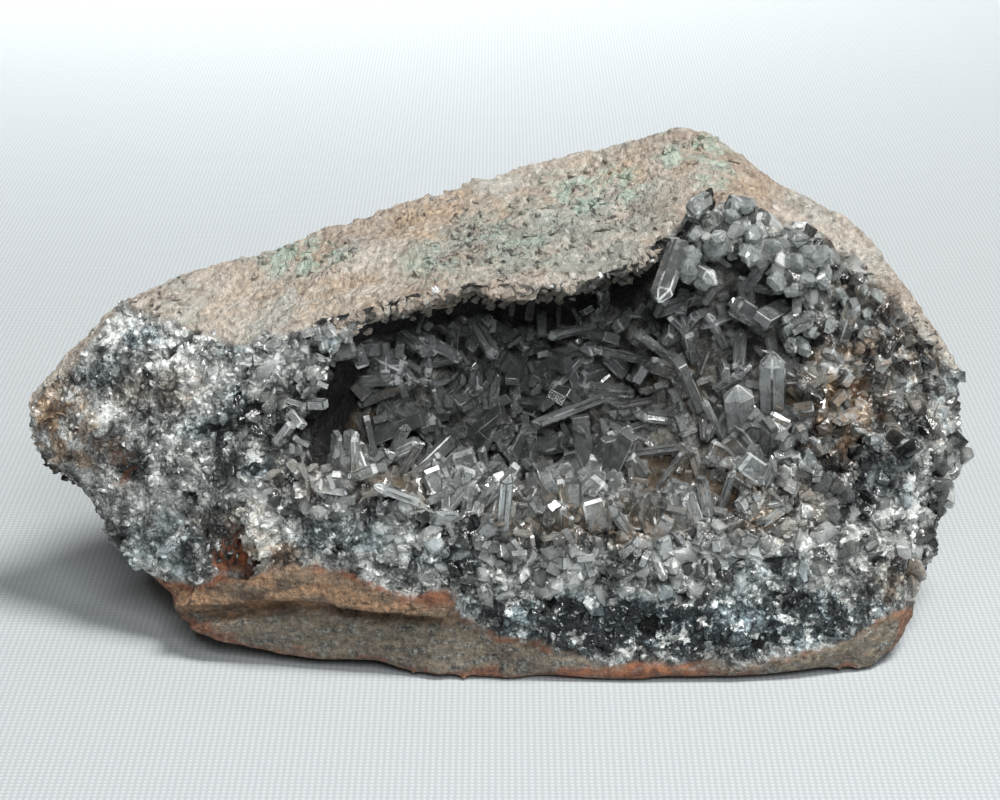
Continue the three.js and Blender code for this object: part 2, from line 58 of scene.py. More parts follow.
# The specimen is drawn as it is seen from one point in front of it. A place is so many millimetres to the
# right (u) and up (w) in a plane through its middle, and so many forward of that plane (t).
VIEW_DISTANCE = 600.0
VIEW_PITCH = math.radians(16.0)
VIEW_HEIGHT = 36.0
LENS = 126.9
ORIGIN_SHIFT = Vector((0.675, -0.315, -0.6))  # from the drawing's origin to the model's, in millimetres
FORWARD = Vector((0, math.cos(VIEW_PITCH), -math.sin(VIEW_PITCH)))
UPWARD = Vector((0, math.sin(VIEW_PITCH), math.cos(VIEW_PITCH)))
RIGHTWARD = Vector((1, 0, 0))
EYE = Vector((0, 0, VIEW_HEIGHT)) + ORIGIN_SHIFT - FORWARD * VIEW_DISTANCE

# The lip, where the rind on top breaks down to the grey wall: right, up, forward
LIP = np.array([
    (-81, -2, 9), (-64, 16.2, 14), (-58, 13.3, 20), (-51, 11, 24), (-45, 9.5, 28), (-29, 12.8, 34),
    (-14, 16.5, 37), (-5, 18.5, 38), (5, 17.8, 38), (14, 18.5, 37.5), (24, 22.8, 36), (30, 29, 32),
    (34, 34.5, 25), (42, 33.5, 22), (51, 29.4, 20), (60, 24, 17), (65, 18.8, 13), (72, 11.9, 8), (80, 1, 1),
])
# The lower edge of the front: right, up, forward
FOOT = np.array([
    (-81, -6, 7), (-68, -22, 14), (-60, -30, 17), (-51, -39.7, 20), (-38, -44.4, 25), (-14, -47.7, 29),
    (16, -48.5, 30), (42, -49.2, 31), (57, -47.3, 28), (66, -45.3, 25), (69, -38.3, 18), (80, -10, 1),
])
# Where the wall meets the host rock under it: right, up
CONTACT = np.array([
    (-81, -26), (-60, -30.5), (-51, -31.5), (-46.6, -30), (-41, -29.6), (-36, -28.4), (-31, -28.4),
    (-26, -30),
    (-20.4, -32), (-15, -33.9), (-9, -32.3), (-6, -38), (-3.4, -39.5), (-0.3, -40.5), (6.6, -41.5),
    (11.6, -43.5), (16.5, -45.1), (24.5, -44.8), (40, -44.9), (49, -44.4), (52, -42.6), (60.4, -40.8),
    (61, -39), (69, -35.6), (80, -30),
])
# The groove between two beds of the host rock, painted dark as shade: right, up
GROOVE = np.array([
    (-54.8, -35.2), (-46.6, -36.8), (-41.9, -36.3), (-37.1, -34.9), (-31, -35.2), (-23.7, -36.4),
    (-14.1, -36.9), (-9.4, -37.3),
])
# The left end of the lowest bed, from the ledge down: right, up
BED_END = np.array([
    (-56.0, -33.5), (-54.6, -36.3), (-52.0, -39.3), (-47.8, -41.4), (-40.2, -43.7), (-20.0, -47.0),
])
# The middle of the left end of the hollow, painted dark as shade, right and up, and how far it leans to the
# right as it rises
SIDE_POCKET = (-29.0, -2.0)
SIDE_POCKET_LEAN = 0.28
# The middle and the outline of the hollow's mouth: right, up
MOUTH_MIDDLE = np.array((7.0, 5.0))
MOUTH = np.array([
    (-28, 9.5), (-22, 13.5), (-13.5, 16.2), (-5, 18.2), (5, 17.7), (13.6, 18.4), (23.8, 22.5), (29, 27),
    (38, 27), (46, 24), (52.8, 16), (56.2, 6.8), (54.5, -3.4), (49.4, -11.9), (42.6, -18.7), (32.3, -22),
    (20.4, -23.5), (6.8, -22.6), (-5, -20), (-17, -16.2), (-27.2, -13.4), (-33.4, -10), (-34.4, -5),
    (-30.6, 1),
])
# Patches of colour on the front: right, up, half-width, half-height, strength
PATCHES = {
    "mint": [
        (-32, 25, 6, 3, 0.9), (-37, 23, 5, 2.4, 0.7), (-12, 23, 5, 4, 0.55), (16, 34.5, 7, 4, 0.9),
        (21, 37.5, 6, 2.4, 0.8), (33, 42, 7, 3, 0.8), (10, 38, 5, 2, 0.4), (3, 28, 9, 5, 0.4),
        (36, 38, 4, 3, 0.6),
    ],
    "orange": [
        (-1.7, 32, 10, 5, 1.0), (-29, 19, 9, 5, 0.8), (-12, 30, 8, 4, 0.9), (20, 40, 6, 3, 0.7),
        (41, 36, 5, 3, 0.6), (-48, 16, 8, 4, 0.5), (-40, 18, 6, 4, 0.5),
    ],
    "sugary": [
        (5, 27, 17, 7, 1.0), (-6, 24, 9, 5, 0.8), (18, 25, 8, 5, 0.8), (27, 31, 6, 6, 0.7),
    ],
    "dark": [
        (28, -38.5, 34, 5.2, 1.0), (56, -36, 10, 4, 0.7), (9, -36.5, 12, 3.6, 0.8), (-57, -25, 8, 5, 0.5),
        (-26, -23, 9, 3.6, 0.5), (-10, -27, 6, 2.4, 0.5), (72, 4, 7, 11, 0.3), (64, 12, 5, 5, 0.3),
        (64, -12, 7, 6, 0.5), (46, -30, 8, 4, 0.5), (-61, 11, 3.6, 2.4, 0.7), (-45, -1, 3, 4, 0.6),
        (-50, -5, 4, 2.4, 0.6), (-41, -12, 4, 2, 0.6), (-45, 10, 3, 3, 0.5), (56, -8, 8, 5, 0.5),
        (-68, 5, 5, 3, 0.4), (-30, 10, 3, 2.4, 0.6), (76, 0, 4, 9, 0.3),
    ],
    "pale": [
        (-55, 8, 12, 6, 1.0), (-64, 14, 6, 4, 1.0), (68, 14, 5, 6, 0.5), (-35, 8, 9, 6, 1.0),
        (-68, -2, 7, 6, 0.7), (-66, 8, 7, 4, 0.8), (-38, -16, 12, 5, 0.9), (-57, -18, 8, 6, 0.9),
        (-60, -28, 6, 3, 0.7), (-16, -24, 12, 3.4, 0.6), (14, -27, 8, 4, 0.35), (38, -27, 9, 4, 0.3),
        (58, -22, 12, 5, 0.75), (44, 28, 12, 7, 0.5), (56, 21, 9, 6, 0.45), (24, -2, 11, 9, 0.8),
        (10, -13, 9, 4, 0.4), (42, -4, 5, 7, 0.4), (77, -9, 4, 6, 0.55), (66, -20, 7, 5, 0.5),
        (20, -32, 8, 2.4, 0.5), (-52, -6, 6, 3, 0.6),
    ],
    "brown": [
        (-76, -4, 7, 8, 1.0), (-70, -8, 6, 4, 0.8), (-58, 2, 8, 4, 0.4), (-44, -22, 8, 5, 0.4),
        (-40, -27, 7, 3, 0.9), (-34, -13, 5, 4, 0.4), (58, -2, 8, 10, 1.0), (60, 7, 7, 6, 0.9),
        (66, 0, 6, 6, 0.7), (50, -18, 6, 4, 0.6), (20, -22, 12, 3, 0.7), (4, -21, 7, 3, 0.6),
        (-26, -2, 5, 6, 0.6), (38, -14, 8, 5, 0.7), (44, -21, 5, 3, 0.8), (-18, -15, 8, 3, 0.5),
        (30, 3, 5, 4, 0.5), (-8, -12, 5, 3, 0.5), (18, -3, 5, 2, 0.4), (68, -32, 5, 4, 0.7),
        (26, -12, 6, 5, 0.4), (64, 20, 6, 5, 0.5), (70, 9, 6, 9, 0.6), (74, -2, 5, 6, 0.4),
    ],
    # holes: patches where the cavities lie in shade, painted nearly black
    "shaded_hole": [
        (-31.5, -7.0, 3.2, 5.0, 1.0), (-27.5, 2.0, 3.0, 4.5, 0.9), (28.6, 23.0, 1.8, 4.8, 1.0),
        (33.5, 9.5, 2.4, 2.6, 1.0), (45.0, 19.5, 3.2, 3.4, 1.0), (31.0, 14.5, 2.0, 3.0, 0.8),
        (-47.5, -4.5, 3.0, 1.8, 0.9), (-36.5, 1.5, 2.6, 2.0, 0.8), (-39.0, -9.0, 2.6, 1.4, 0.8),
        (73.0, 2.0, 2.2, 1.4, 0.9), (-13.0, -21.5, 2.6, 1.6, 0.9), (46.0, -28.0, 2.4, 1.2, 0.7),
        (58.0, -11.0, 2.4, 1.6, 0.8), (38.0, 24.0, 2.0, 1.6, 0.8),
    ],
    "rust": [
        (-46.6, -27, 2.6, 4.5, 1.0), (-65, -12, 3.0, 3.2, 0.5), (60, 0, 2.4, 5, 0.5),
        (-12, -33.6, 5, 1.6, 0.7), (24, -46.6, 15, 1.3, 0.9),
    ],
}

# The crystals of the hollow that are told apart from a step away. Tip and foot: right, up; then width,
# thickness, and how much nearer the tip is than the foot.
CHOSEN_CRYSTALS = [
    (4.7, -15.3, 16.5, -8.5, 4, 2.6, 5), (4.8, -4.6, 20, 1.2, 3.6, 2, 5), (16, 8.6, 28, 6, 2.2, 1.6, 2),
    (8.2, 10.8, 15.8, 12.6, 2.3, 1.8, 5), (-0.8, 7.2, -4.8, 14, 2.8, 2, 5),
    (1.2, -12.8, 0.4, -22, 2.5, 2, 2), (-15.9, -4.2, -18.5, -10, 2.5, 1.4, 3),
    (-25.3, -5, -25.2, -11, 3.1, 1.4, 3), (-13.6, -7.6, -17, -12.6, 1.8, 1.2, 3),
    (-3.2, -8, -2.2, -14, 1.9, 1.2, 2), (-21.5, -14.6, -14, -17.4, 2.6, 1.6, 1),
    (13, -4.2, 15.6, -9.6, 3, 1.4, 4), (11.5, -15, 16, -11, 1.9, 1.4, 4), (23, 11.7, 30, 6.2, 2.8, 1.7, 3),
    (35.4, 14.6, 38.2, 9, 2.2, 1.7, 3), (40.4, 2.5, 41, -4.5, 5.6, 3.4, 2),
    (46.4, 8.2, 46.4, -1.8, 5, 2.8, 2), (32, -8, 21.5, -9.4, 2.6, 1.8, 3),
    (31.4, -8.6, 27, -14.6, 2, 1.2, 1), (34.6, 0, 37.8, -6.4, 2.1, 1.4, 2),
    (39.6, -12.2, 37.6, -18.6, 2, 1.4, 2), (26.8, -15.6, 37, -17.2, 2.6, 1.6, 1),
    (27, 16.8, 30.4, 26.4, 4.2, 3, 6), (50.6, 19.6, 50.6, 28, 7.4, 4.6, 3), (41, 26, 39, 33, 6.4, 4.4, 3),
    (57, 16, 53, 10, 4.6, 3, 3), (36.5, 20, 37.5, 27.5, 5.6, 3.6, 3), (61.6, 13.6, 60, 18, 3.8, 2.6, 2),
    (-8, 13.4, -8.4, 5.6, 2.4, 1.4, 3), (-11, 9.6, -6.2, 4.4, 2, 1.3, 4),
]
# Places in that list. Each of the milky ones is a cluster of small lumps and blades.
MILKY_CRYSTALS = (23, 24, 25, 26, 27)
CLUSTER = 8
DARK_CRYSTALS = (2, 22, 28, 29)

# What is strewn over the rock: the piece, the shape that is copied, its zone, how many spacings apart, then
# the least and the greatest width, thickness and length in millimetres, the lean in radians, and the seed
STREWN_GRAINS = (
    ("wall_grains", "lump", "lumps", 1.35, (0.8, 0.6, 0.6), (2.0, 1.6, 1.3), 0.9, 3),
    ("bright_chips", "chip", "lumps", 2.2, (0.5, 0.9, 1.0), (1.3, 2.4, 2.2), 1.3, 11),
    ("coarse_lumps", "chip", "blocky", 2.3, (1.6, 1.4, 1.4), (5.4, 4.2, 3.6), 0.8, 23),
    ("coarse_blocks", "block", "blocky", 4.5, (2.0, 1.8, 1.8), (5.0, 4.0, 4.0), 0.8, 29),
    ("large_grains", "chip", "large", 2.4, (1.6, 1.4, 1.2), (4.4, 3.4, 3.0), 0.9, 83),
    ("rind_crumbs", "lump", "crumbs", 1.1, (1.0, 0.9, 0.8), (3.2, 2.6, 2.2), 0.8, 97),
)
STREWN_CRYSTALS = (
    ("small_druse", "chisel", "debris", 1.35, (0.8, 0.6, 1.5), (2.2, 1.2, 4.5), 1.2, 31),
    ("druse", "chisel", "druse", 1.6, (1.8, 1.0, 4.5), (4.4, 2.2, 11.0), 0.85, 53),
    ("druse_blades", "blade", "druse", 2.1, (2.0, 1.0, 5.0), (4.2, 2.2, 10.0), 1.0, 71),
    ("apron_druse", "chisel", "apron", 1.7, (1.4, 0.8, 2.4), (3.6, 1.9, 6.0), 1.35, 61),
)


# The view

def seen(u, w, t):
    """The place in the model, in metres, that is seen at u, w and comes t forward."""
    ray = FORWARD * VIEW_DISTANCE + RIGHTWARD * u + UPWARD * w
    return (EYE + ray * (1 - t / VIEW_DISTANCE)) * MM


def sighting(places):
    """Where places in metres are seen: arrays of u, w and t."""
    ray = np.asarray(places) / MM - np.array(EYE)
    away = ray @ np.array(FORWARD)
    scale = VIEW_DISTANCE / away
    return ray @ np.array(RIGHTWARD) * scale, ray @ np.array(UPWARD) * scale, VIEW_DISTANCE - away


def mouth_reach(angle):
    """How far the mouth of the hollow reaches from its middle in a direction."""
    arms = MOUTH - MOUTH_MIDDLE
    turns = np.arctan2(arms[:, 1], arms[:, 0])
    order = np.argsort(turns)
    return np.interp(angle, turns[order], np.hypot(*arms.T)[order], period=2 * math.pi)


def random_from(seed):
    """Repeatable random numbers, the same ones as the solids are drawn with."""
    state = seed
    while True:
        state = (state * 1664525 + 1013904223) % 4294967296
        yield state / 4294967296


def smooth_step(value, low, high):
    share = np.clip((value - low) / (high - low), 0, 1)
    return share * share * (3 - 2 * share)


def wobble(u, w, size, seed):
    """Uneven bumps between about -1 and 1, to make an edge between two zones ragged."""
    a, b = u / size + seed, w / size - seed
    return (np.sin(a * 1.7 + 1.3 * np.sin(b * 2.3)) + np.sin(b * 2.9 + 1.7 * np.sin(a * 1.1 + 2)) * 0.7
            + np.sin(a * 5.1 + b * 4.3 + 2 * np.sin(b * 3.1)) * 0.4) / 1.6


def lattice_noise(places, size, seed):
    """Smooth random values from 0 to 1 that change over a length of the given size."""
    scaled = places / size + seed * 7.31
    corner = np.floor(scaled)
    share = scaled - corner
    share = share * share * (3 - 2 * share)
    total = np.zeros(len(places))
    for step in np.ndindex(2, 2, 2):
        cell = corner + step
        value = np.sin(cell @ np.array((127.1, 311.7, 74.7)) + seed) * 43758.5453
        weight = np.prod(np.where(step, share, 1 - share), axis=1)
        total += (value - np.floor(value)) * weight
    return total


# Helpers

def deselect():
    if bpy.context.object and bpy.context.object.mode != "OBJECT":
        bpy.ops.object.mode_set(mode="OBJECT")
    bpy.ops.object.select_all(action="DESELECT")


def select(*pieces):
    deselect()
    for piece in pieces:
        piece.select_set(True)
    bpy.context.view_layer.objects.active = pieces[0]


def apply_modifiers(piece):
    select(piece)
    for modifier in list(piece.modifiers):
        bpy.ops.object.modifier_apply(modifier=modifier.name)


def edit_all():
    bpy.ops.object.mode_set(mode="EDIT")
    bpy.ops.mesh.select_all(action="SELECT")


def own_copy(source, name):
    """A copy of an object with its own mesh and with nothing noted on it."""
    piece = source.copy()
    piece.data = source.data.copy()
    piece.name = piece.data.name = name
    for key in list(piece.keys()):
        del piece[key]
    bpy.context.collection.objects.link(piece)
    return piece


def merged_copy(node, name):
    """A copy of a solid with its own mesh, its loose triangles joined at their corners."""
    piece = own_copy(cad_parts[node], name)
    piece.parent = None
    piece.data.materials.clear()
    select(piece)
    edit_all()
    bpy.ops.mesh.remove_doubles(threshold=CORNER_GAP)
    bpy.ops.object.mode_set(mode="OBJECT")
    return piece


def points_of(mesh):
    places = np.empty(len(mesh.vertices) * 3)
    mesh.vertices.foreach_get("co", places)
    return places.reshape(-1, 3)


def normals_of(mesh):
    normals = np.empty(len(mesh.vertices) * 3)
    mesh.vertices.foreach_get("normal", normals)
    return normals.reshape(-1, 3)


def keep_attribute(mesh, name, values):
    attribute = mesh.attributes.get(name) or mesh.attributes.new(name, "FLOAT", "POINT")
    attribute.data.foreach_set("value", np.ascontiguousarray(values, dtype=np.float32))


def vertex_group(piece, name, weights):
    group = piece.vertex_groups.new(name=name)
    steps = np.round(np.clip(weights, 0, 1) * 10).astype(int)
    for step in range(1, 11):
        members = np.nonzero(steps == step)[0]
        if len(members):
            group.add(members.tolist(), step / 10, "REPLACE")


def finish_piece(piece, material, node=None, edges=None):
    """Gives a piece its material, and its worn edges their own, with a painted highlight, and ties it to the
    part.
    """
    piece.data.materials.clear()
    piece.data.materials.append(material)
    worn = np.zeros(len(piece.data.polygons), dtype=np.float32)
    if edges:
        piece.data.materials.append(edges)
        piece.data.attributes["edge"].data.foreach_get("value", worn)
    piece.data.polygons.foreach_set("material_index", (worn > 0.5).astype(np.int32))
    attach(piece, "root")
    if node:
        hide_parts(node)


# Materials

class Shading:
    """A short hand for laying out the nodes of one material or group."""

    def __init__(self, tree):
        self.tree = tree
        tree.nodes.clear()

    def node(self, kind, values=(), **settings):
        node = self.tree.nodes.new(kind)
        for name, value in settings.items():
            setattr(node, name, value)
        self.fill(node, dict(values))
        return node

    def fill(self, node, values):
        for socket, value in values.items():
            self.feed(node.inputs[socket], value)

    def feed(self, socket, value):
        if isinstance(value, bpy.types.NodeSocket):
            self.tree.links.new(value, socket)
        else:
            socket.default_value = value

    def attribute(self, name, output="Fac"):
        node = self.node("ShaderNodeAttribute", attribute_type="GEOMETRY", attribute_name=name)
        return node.outputs[output]

    def noise(self, vector, scale, detail=3.0, roughness=0.55, distortion=0.0):
        values = {"Vector": vector, "Scale": scale, "Detail": detail, "Roughness": roughness}
        return self.node("ShaderNodeTexNoise", {**values, "Distortion": distortion}).outputs["Fac"]

    def cells(self, vector, scale, feature="F1"):
        return self.node("ShaderNodeTexVoronoi", {"Vector": vector, "Scale": scale}, feature=feature).outputs

    def bent(self, vector, scale, detail, share):
        """Places moved about by noise, so that the cells laid over them have bent edges."""
        waver = self.node("ShaderNodeTexNoise", {"Vector": vector, "Scale": scale, "Detail": detail})
        return self.mix(share, vector, waver.outputs["Color"], "ADD")

    def math(self, operation, first, second, clamp=False):
        values = {0: first, 1: second}
        return self.node("ShaderNodeMath", values, operation=operation, use_clamp=clamp).outputs[0]

    def times(self, first, second):
        return self.math("MULTIPLY", first, second)

    def ramp(self, value, low, high, from_value=0.0, to_value=1.0):
        values = {"Value": value, "From Min": low, "From Max": high, "To Min": from_value, "To Max": to_value}
        node = self.node("ShaderNodeMapRange", values, clamp=True, interpolation_type="SMOOTHSTEP")
        return node.outputs["Result"]

    def mix(self, share, first, second, blend="MIX"):
        values = {0: share, 6: first, 7: second}
        return self.node("ShaderNodeMix", values, data_type="RGBA", blend_type=blend).outputs[2]

    def ramp_colour(self, value, stops):
        ramp = self.node("ShaderNodeValToRGB", {"Fac": value})
        while len(ramp.color_ramp.elements) < len(stops):
            ramp.color_ramp.elements.new(0.5)
        for element, (position, colour) in zip(ramp.color_ramp.elements, stops):
            element.position, element.color = position, colour
        return ramp.outputs["Color"]

    def stretched(self, vector, scale, turn=(0, 0, 0)):
        values = {"Vector": vector, "Scale": scale, "Rotation": turn}
        return self.node("ShaderNodeMapping", values).outputs["Vector"]

    def group(self, tree, values):
        return self.node("ShaderNodeGroup", values, node_tree=tree).outputs

    def bump(self, strength, distance, height):
        values = {"Strength": strength, "Distance": distance, "Height": height}
        return self.node("ShaderNodeBump", values).outputs["Normal"]


def new_group(name, inputs, outputs):
    tree = bpy.data.node_groups.new(name, "ShaderNodeTree")
    shading = Shading(tree)
    for label, kind in inputs:
        tree.interface.new_socket(label, in_out="INPUT", socket_type=kind)
    for label, kind in outputs:
        tree.interface.new_socket(label, in_out="OUTPUT", socket_type=kind)
    return tree, shading, tree.nodes.new("NodeGroupInput").outputs, tree.nodes.new("NodeGroupOutput").inputs


def group_named(name, build):
    return bpy.data.node_groups.get(name) or build(name)


def mass_group(name):
    """Massive celestine: blotches, cells and specks from nearly black to nearly white, and its relief."""
    inputs = [(label, "NodeSocketFloat") for label in ("Tone", "Dark", "Pale", "Brown", "Calm")]
    tree, s, given, out = new_group(
        name,
        [("Vector", "NodeSocketVector"), *inputs],
        [("Color", "NodeSocketColor"), ("Height", "NodeSocketFloat"), ("Gloss", "NodeSocketFloat")],
    )
    place = given["Vector"]
    bent = s.bent(place, 300.0, 3.0, 0.0035)
    cell = s.node("ShaderNodeSeparateColor", {"Color": s.cells(bent, 560.0)["Color"]}).outputs["Red"]
    fleck = s.node("ShaderNodeSeparateColor", {"Color": s.cells(bent, 1900.0)["Color"]}).outputs["Green"]

    def summed(value, parts):
        for part, weight in parts:
            value = s.math("ADD", value, s.times(s.math("SUBTRACT", part, 0.5), weight))
        return value

    mottle = summed(0.0, ((s.noise(place, 400.0, 5.0, 0.65), 1.25), (cell, 0.2), (fleck, 0.26),
                          (s.noise(place, 2600.0, 2.0, 0.7), 0.7)))
    mottle = s.times(mottle, s.math("SUBTRACT", 1.0, given["Calm"]))
    own_tone = s.math("ADD", 0.34, s.times(given["Calm"], 0.5))
    blotches = s.noise(place, 110.0, 5.0, 0.6)
    value = summed(s.math("ADD", 0.475, mottle), ((blotches, 1.9), (given["Tone"], own_tone)))
    value = s.math("ADD", value, s.times(given["Pale"], 0.21))
    clusters = s.ramp(s.noise(place, 340.0, 4.0, 0.7), 0.53, 0.60)
    darkened = s.times(given["Dark"], s.math("SUBTRACT", 1.0, clusters))
    value = s.math("ADD", value, s.times(s.times(given["Dark"], clusters), 0.3))
    value = s.math("SUBTRACT", value, s.times(darkened, 0.34), clamp=True)
    colour = s.ramp_colour(value, (
        (0.0, (0.011, 0.012, 0.013, 1)), (0.26, (0.05, 0.053, 0.052, 1)), (0.5, (0.225, 0.233, 0.222, 1)),
        (0.72, (0.47, 0.485, 0.465, 1)), (1.0, (0.86, 0.88, 0.865, 1))))
    colour = s.mix(darkened, colour, s.mix(1.0, colour, (0.76, 0.94, 1.06, 1), "MULTIPLY"))
    brown = s.ramp_colour(value, (
        (0.1, (0.022, 0.014, 0.009, 1)), (0.5, (0.15, 0.095, 0.055, 1)), (0.9, (0.50, 0.38, 0.26, 1))))
    stained = s.times(given["Brown"], s.ramp(s.noise(place, 260.0, 4.0, 0.6), 0.36, 0.58))
    s.feed(out["Color"], s.mix(stained, colour, brown))
    s.feed(out["Height"], s.noise(place, 1100.0, 2.0, 0.7))
    s.feed(out["Gloss"], s.times(s.math("SUBTRACT", 1.0, stained), s.ramp(fleck, 0.3, 0.9)))
    return tree


def speck_group(name):
    """Short dark slits in clusters, pale flecks, and the small relief of a crumbly crust."""
    tree, s, given, out = new_group(
        name,
        [("Vector", "NodeSocketVector"), ("Scale", "NodeSocketFloat")],
        [("Dark", "NodeSocketFloat"), ("Light", "NodeSocketFloat"), ("Height", "NodeSocketFloat")],
    )
    place, scale = given["Vector"], given["Scale"]
    flat = s.stretched(s.bent(place, scale, 2.0, 0.0016), (0.5, 1.0, 1.0), (0.1, 0.1, 0.25))
    edges = s.cells(flat, s.times(scale, 0.8), "DISTANCE_TO_EDGE")["Distance"]
    slits = s.times(s.ramp(edges, 0.085, 0.03), s.ramp(s.noise(place, scale, 3.0, 0.6), 0.55, 0.60))
    holes = s.ramp(s.noise(flat, s.times(scale, 1.2), 3.0, 0.6), 0.36, 0.31)
    crowd = s.ramp(s.noise(place, 75.0, 4.0), 0.44, 0.60, 0.12, 1.0)
    dark = s.times(s.math("MAXIMUM", slits, holes), crowd)
    crumbs = s.noise(place, s.times(scale, 0.9), 5.0, 0.68)
    s.feed(out["Dark"], dark)
    s.feed(out["Light"], s.ramp(crumbs, 0.62, 0.70))
    s.feed(out["Height"], crumbs)
    return tree


def new_material(name):
    material = bpy.data.materials.new(name)
    material.use_nodes = True
    shading = Shading(material.node_tree)
    surface = shading.node("ShaderNodeBsdfPrincipled")
    output = shading.node("ShaderNodeOutputMaterial")
    material.node_tree.links.new(surface.outputs["BSDF"], output.inputs["Surface"])
    where = shading.node("ShaderNodeTexCoord").outputs["Object"]
    return material, shading, surface, where


def masks(s, *labels):
    """The zones of those names, for the inputs of a group."""
    return {label: s.attribute(label.lower()) for label in labels}


def rock_material(looks):
    """The rock: rind, wall, host rock, and the lining of the hollow, darkened with painted shade, by the
    zones kept on the mesh.
    """
    material, s, surface, where = new_material("geode rock")
    mass = group_named("massive celestine", mass_group)
    specks = group_named("stone specks", speck_group)
    cloud = s.noise(where, 45.0, 4.0)
    blotch = s.noise(where, 150.0, 5.0, 0.62)
    drawn_back = s.stretched(where, (1, 0.55, 1))
    fine = s.group(specks, {"Vector": drawn_back, "Scale": 520.0})
    finest = s.group(specks, {"Vector": drawn_back, "Scale": 1200.0})
    flecks = s.math("MAXIMUM", fine["Light"], finest["Light"])

    wall = s.group(mass, {"Vector": where, "Tone": 0.45, "Calm": 0.0, **masks(s, "Dark", "Pale", "Brown")})

    # rind
    rind = s.mix(s.ramp(cloud, 0.38, 0.62), tuple(looks.rind_tan), tuple(looks.rind_buff))
    orange = s.times(s.attribute("orange"), s.ramp(blotch, 0.38, 0.56, 0.0, 0.85))
    rind = s.mix(orange, rind, tuple(looks.rind_orange))
    rind = s.mix(s.ramp(s.noise(where, 80.0, 5.0, 0.6), 0.50, 0.62, 0.0, 0.7), rind, tuple(looks.rind_grey))
    rind = s.mix(s.ramp(s.noise(where, 240.0, 5.0, 0.65), 0.52, 0.66, 0.0, 0.6), rind, (0.60, 0.56, 0.50, 1))
    rind = s.mix(s.ramp(s.noise(where, 330.0, 4.0), 0.53, 0.66, 0.0, 0.5), rind, (0.20, 0.15, 0.11, 1))
    sugary = s.times(s.attribute("sugary"), s.ramp(blotch, 0.34, 0.52))
    sugar = s.mix(s.noise(where, 420.0, 4.0, 0.7), (0.12, 0.13, 0.105, 1), (0.52, 0.53, 0.47, 1))
    rind = s.mix(s.times(sugary, 0.85), rind, sugar)
    mint = s.times(s.attribute("mint"), s.ramp(s.noise(where, 260.0, 5.0, 0.7), 0.44, 0.56))
    rind = s.mix(s.times(mint, 0.66), rind, tuple(looks.mint))
    # painted light and shade: the rind is darker in the low spots and lighter on the high spots of its
    # crumbly relief
    shade = s.ramp_colour(finest["Height"], (
        (0.3, (0.55, 0.55, 0.55, 1)), (0.5, (0.95, 0.95, 0.95, 1)), (0.7, (1.35, 1.35, 1.35, 1))))
    rind = s.mix(1.0, rind, shade, "MULTIPLY")
    rind = s.mix(s.times(finest["Dark"], 0.75), rind, (0.10, 0.08, 0.07, 1))
    rind = s.mix(s.times(flecks, 0.6), rind, (0.80, 0.77, 0.73, 1))
    rind = s.mix(s.times(fine["Dark"], 0.9), rind, (0.035, 0.033, 0.034, 1))

    # host rock under the wall: tan at the top, grey and grainy lower down, rusty at the foot
    layers = s.noise(s.stretched(where, (1, 1, 6)), 90.0, 5.0, 0.62, 0.6)
    bed = s.mix(s.ramp(layers, 0.36, 0.62), tuple(looks.bed_dark), tuple(looks.bed_light))
    along = s.stretched(where, (1, 1, 3))
    streaks = s.ramp(s.noise(along, 300.0, 5.0, 0.7), 0.5, 0.62, 0.0, 0.5)
    bed = s.mix(streaks, bed, (0.05, 0.035, 0.025, 1))
    warm = s.math("SUBTRACT", 1.0, s.attribute("grey_bed"), clamp=True)
    warm = s.times(warm, s.ramp(s.noise(along, 130.0, 4.0, 0.6), 0.42, 0.60))
    bed = s.mix(s.times(warm, 0.7), bed, (0.43, 0.25, 0.135, 1))
    bed = s.mix(s.times(s.attribute("grey_bed"), 0.55), bed, (0.20, 0.185, 0.145, 1))
    grit = s.ramp(s.noise(where, 1500.0, 3.0, 0.7), 0.42, 0.58)
    grey = s.mix(grit, (0.04, 0.046, 0.05, 1), (0.30, 0.31, 0.28, 1))
    lenses = s.ramp(s.noise(s.stretched(where, (1, 1, 2.4)), 330.0, 5.0, 0.72), 0.48, 0.62, 0.0, 0.85)
    bed = s.mix(s.times(s.attribute("grey_bed"), lenses), bed, grey)
    rusty_foot = s.ramp(s.noise(where, 260.0, 5.0, 0.7), 0.40, 0.54)
    bed = s.mix(s.times(s.attribute("rust_foot"), rusty_foot), bed, (0.21, 0.095, 0.055, 1))
    # painted light and shade: the host rock is darker in the low spots and lighter on the high spots of its
    # relief
    shade = s.ramp_colour(finest["Height"], (
        (0.3, (0.4, 0.4, 0.4, 1)), (0.5, (0.95, 0.95, 0.95, 1)), (0.7, (1.6, 1.6, 1.6, 1))))
    bed = s.mix(1.0, bed, shade, "MULTIPLY")
    bed = s.mix(s.times(flecks, 0.5), bed, (0.44, 0.40, 0.32, 1))
    slits = s.math("MAXIMUM", fine["Dark"], finest["Dark"])
    bed = s.mix(s.times(slits, 0.8), bed, (0.03, 0.023, 0.018, 1))

    # lining of the hollow: painted shade, darker than the wall and nearly black in blotches where shade lies
    # between the crystals; its brown stains and pale flecks are its own colour
    shaded_lining = s.mix(1.0, wall["Color"], (0.75, 0.73, 0.68, 1), "MULTIPLY")
    shaded_lining = s.mix(s.ramp(blotch, 0.40, 0.60), (0.010, 0.010, 0.010, 1), shaded_lining)
    shaded_lining = s.mix(s.times(s.attribute("brown"), 0.8), shaded_lining, (0.24, 0.165, 0.095, 1))
    shaded_lining = s.mix(s.times(fine["Light"], 0.6), shaded_lining, (0.42, 0.43, 0.40, 1))
    # painted shade: nearly black under the lip and in the left end of the hollow, where the overhang shades
    # it
    shaded_lining = s.mix(s.attribute("painted_depth_shade"), shaded_lining, (0.006, 0.006, 0.006, 1))

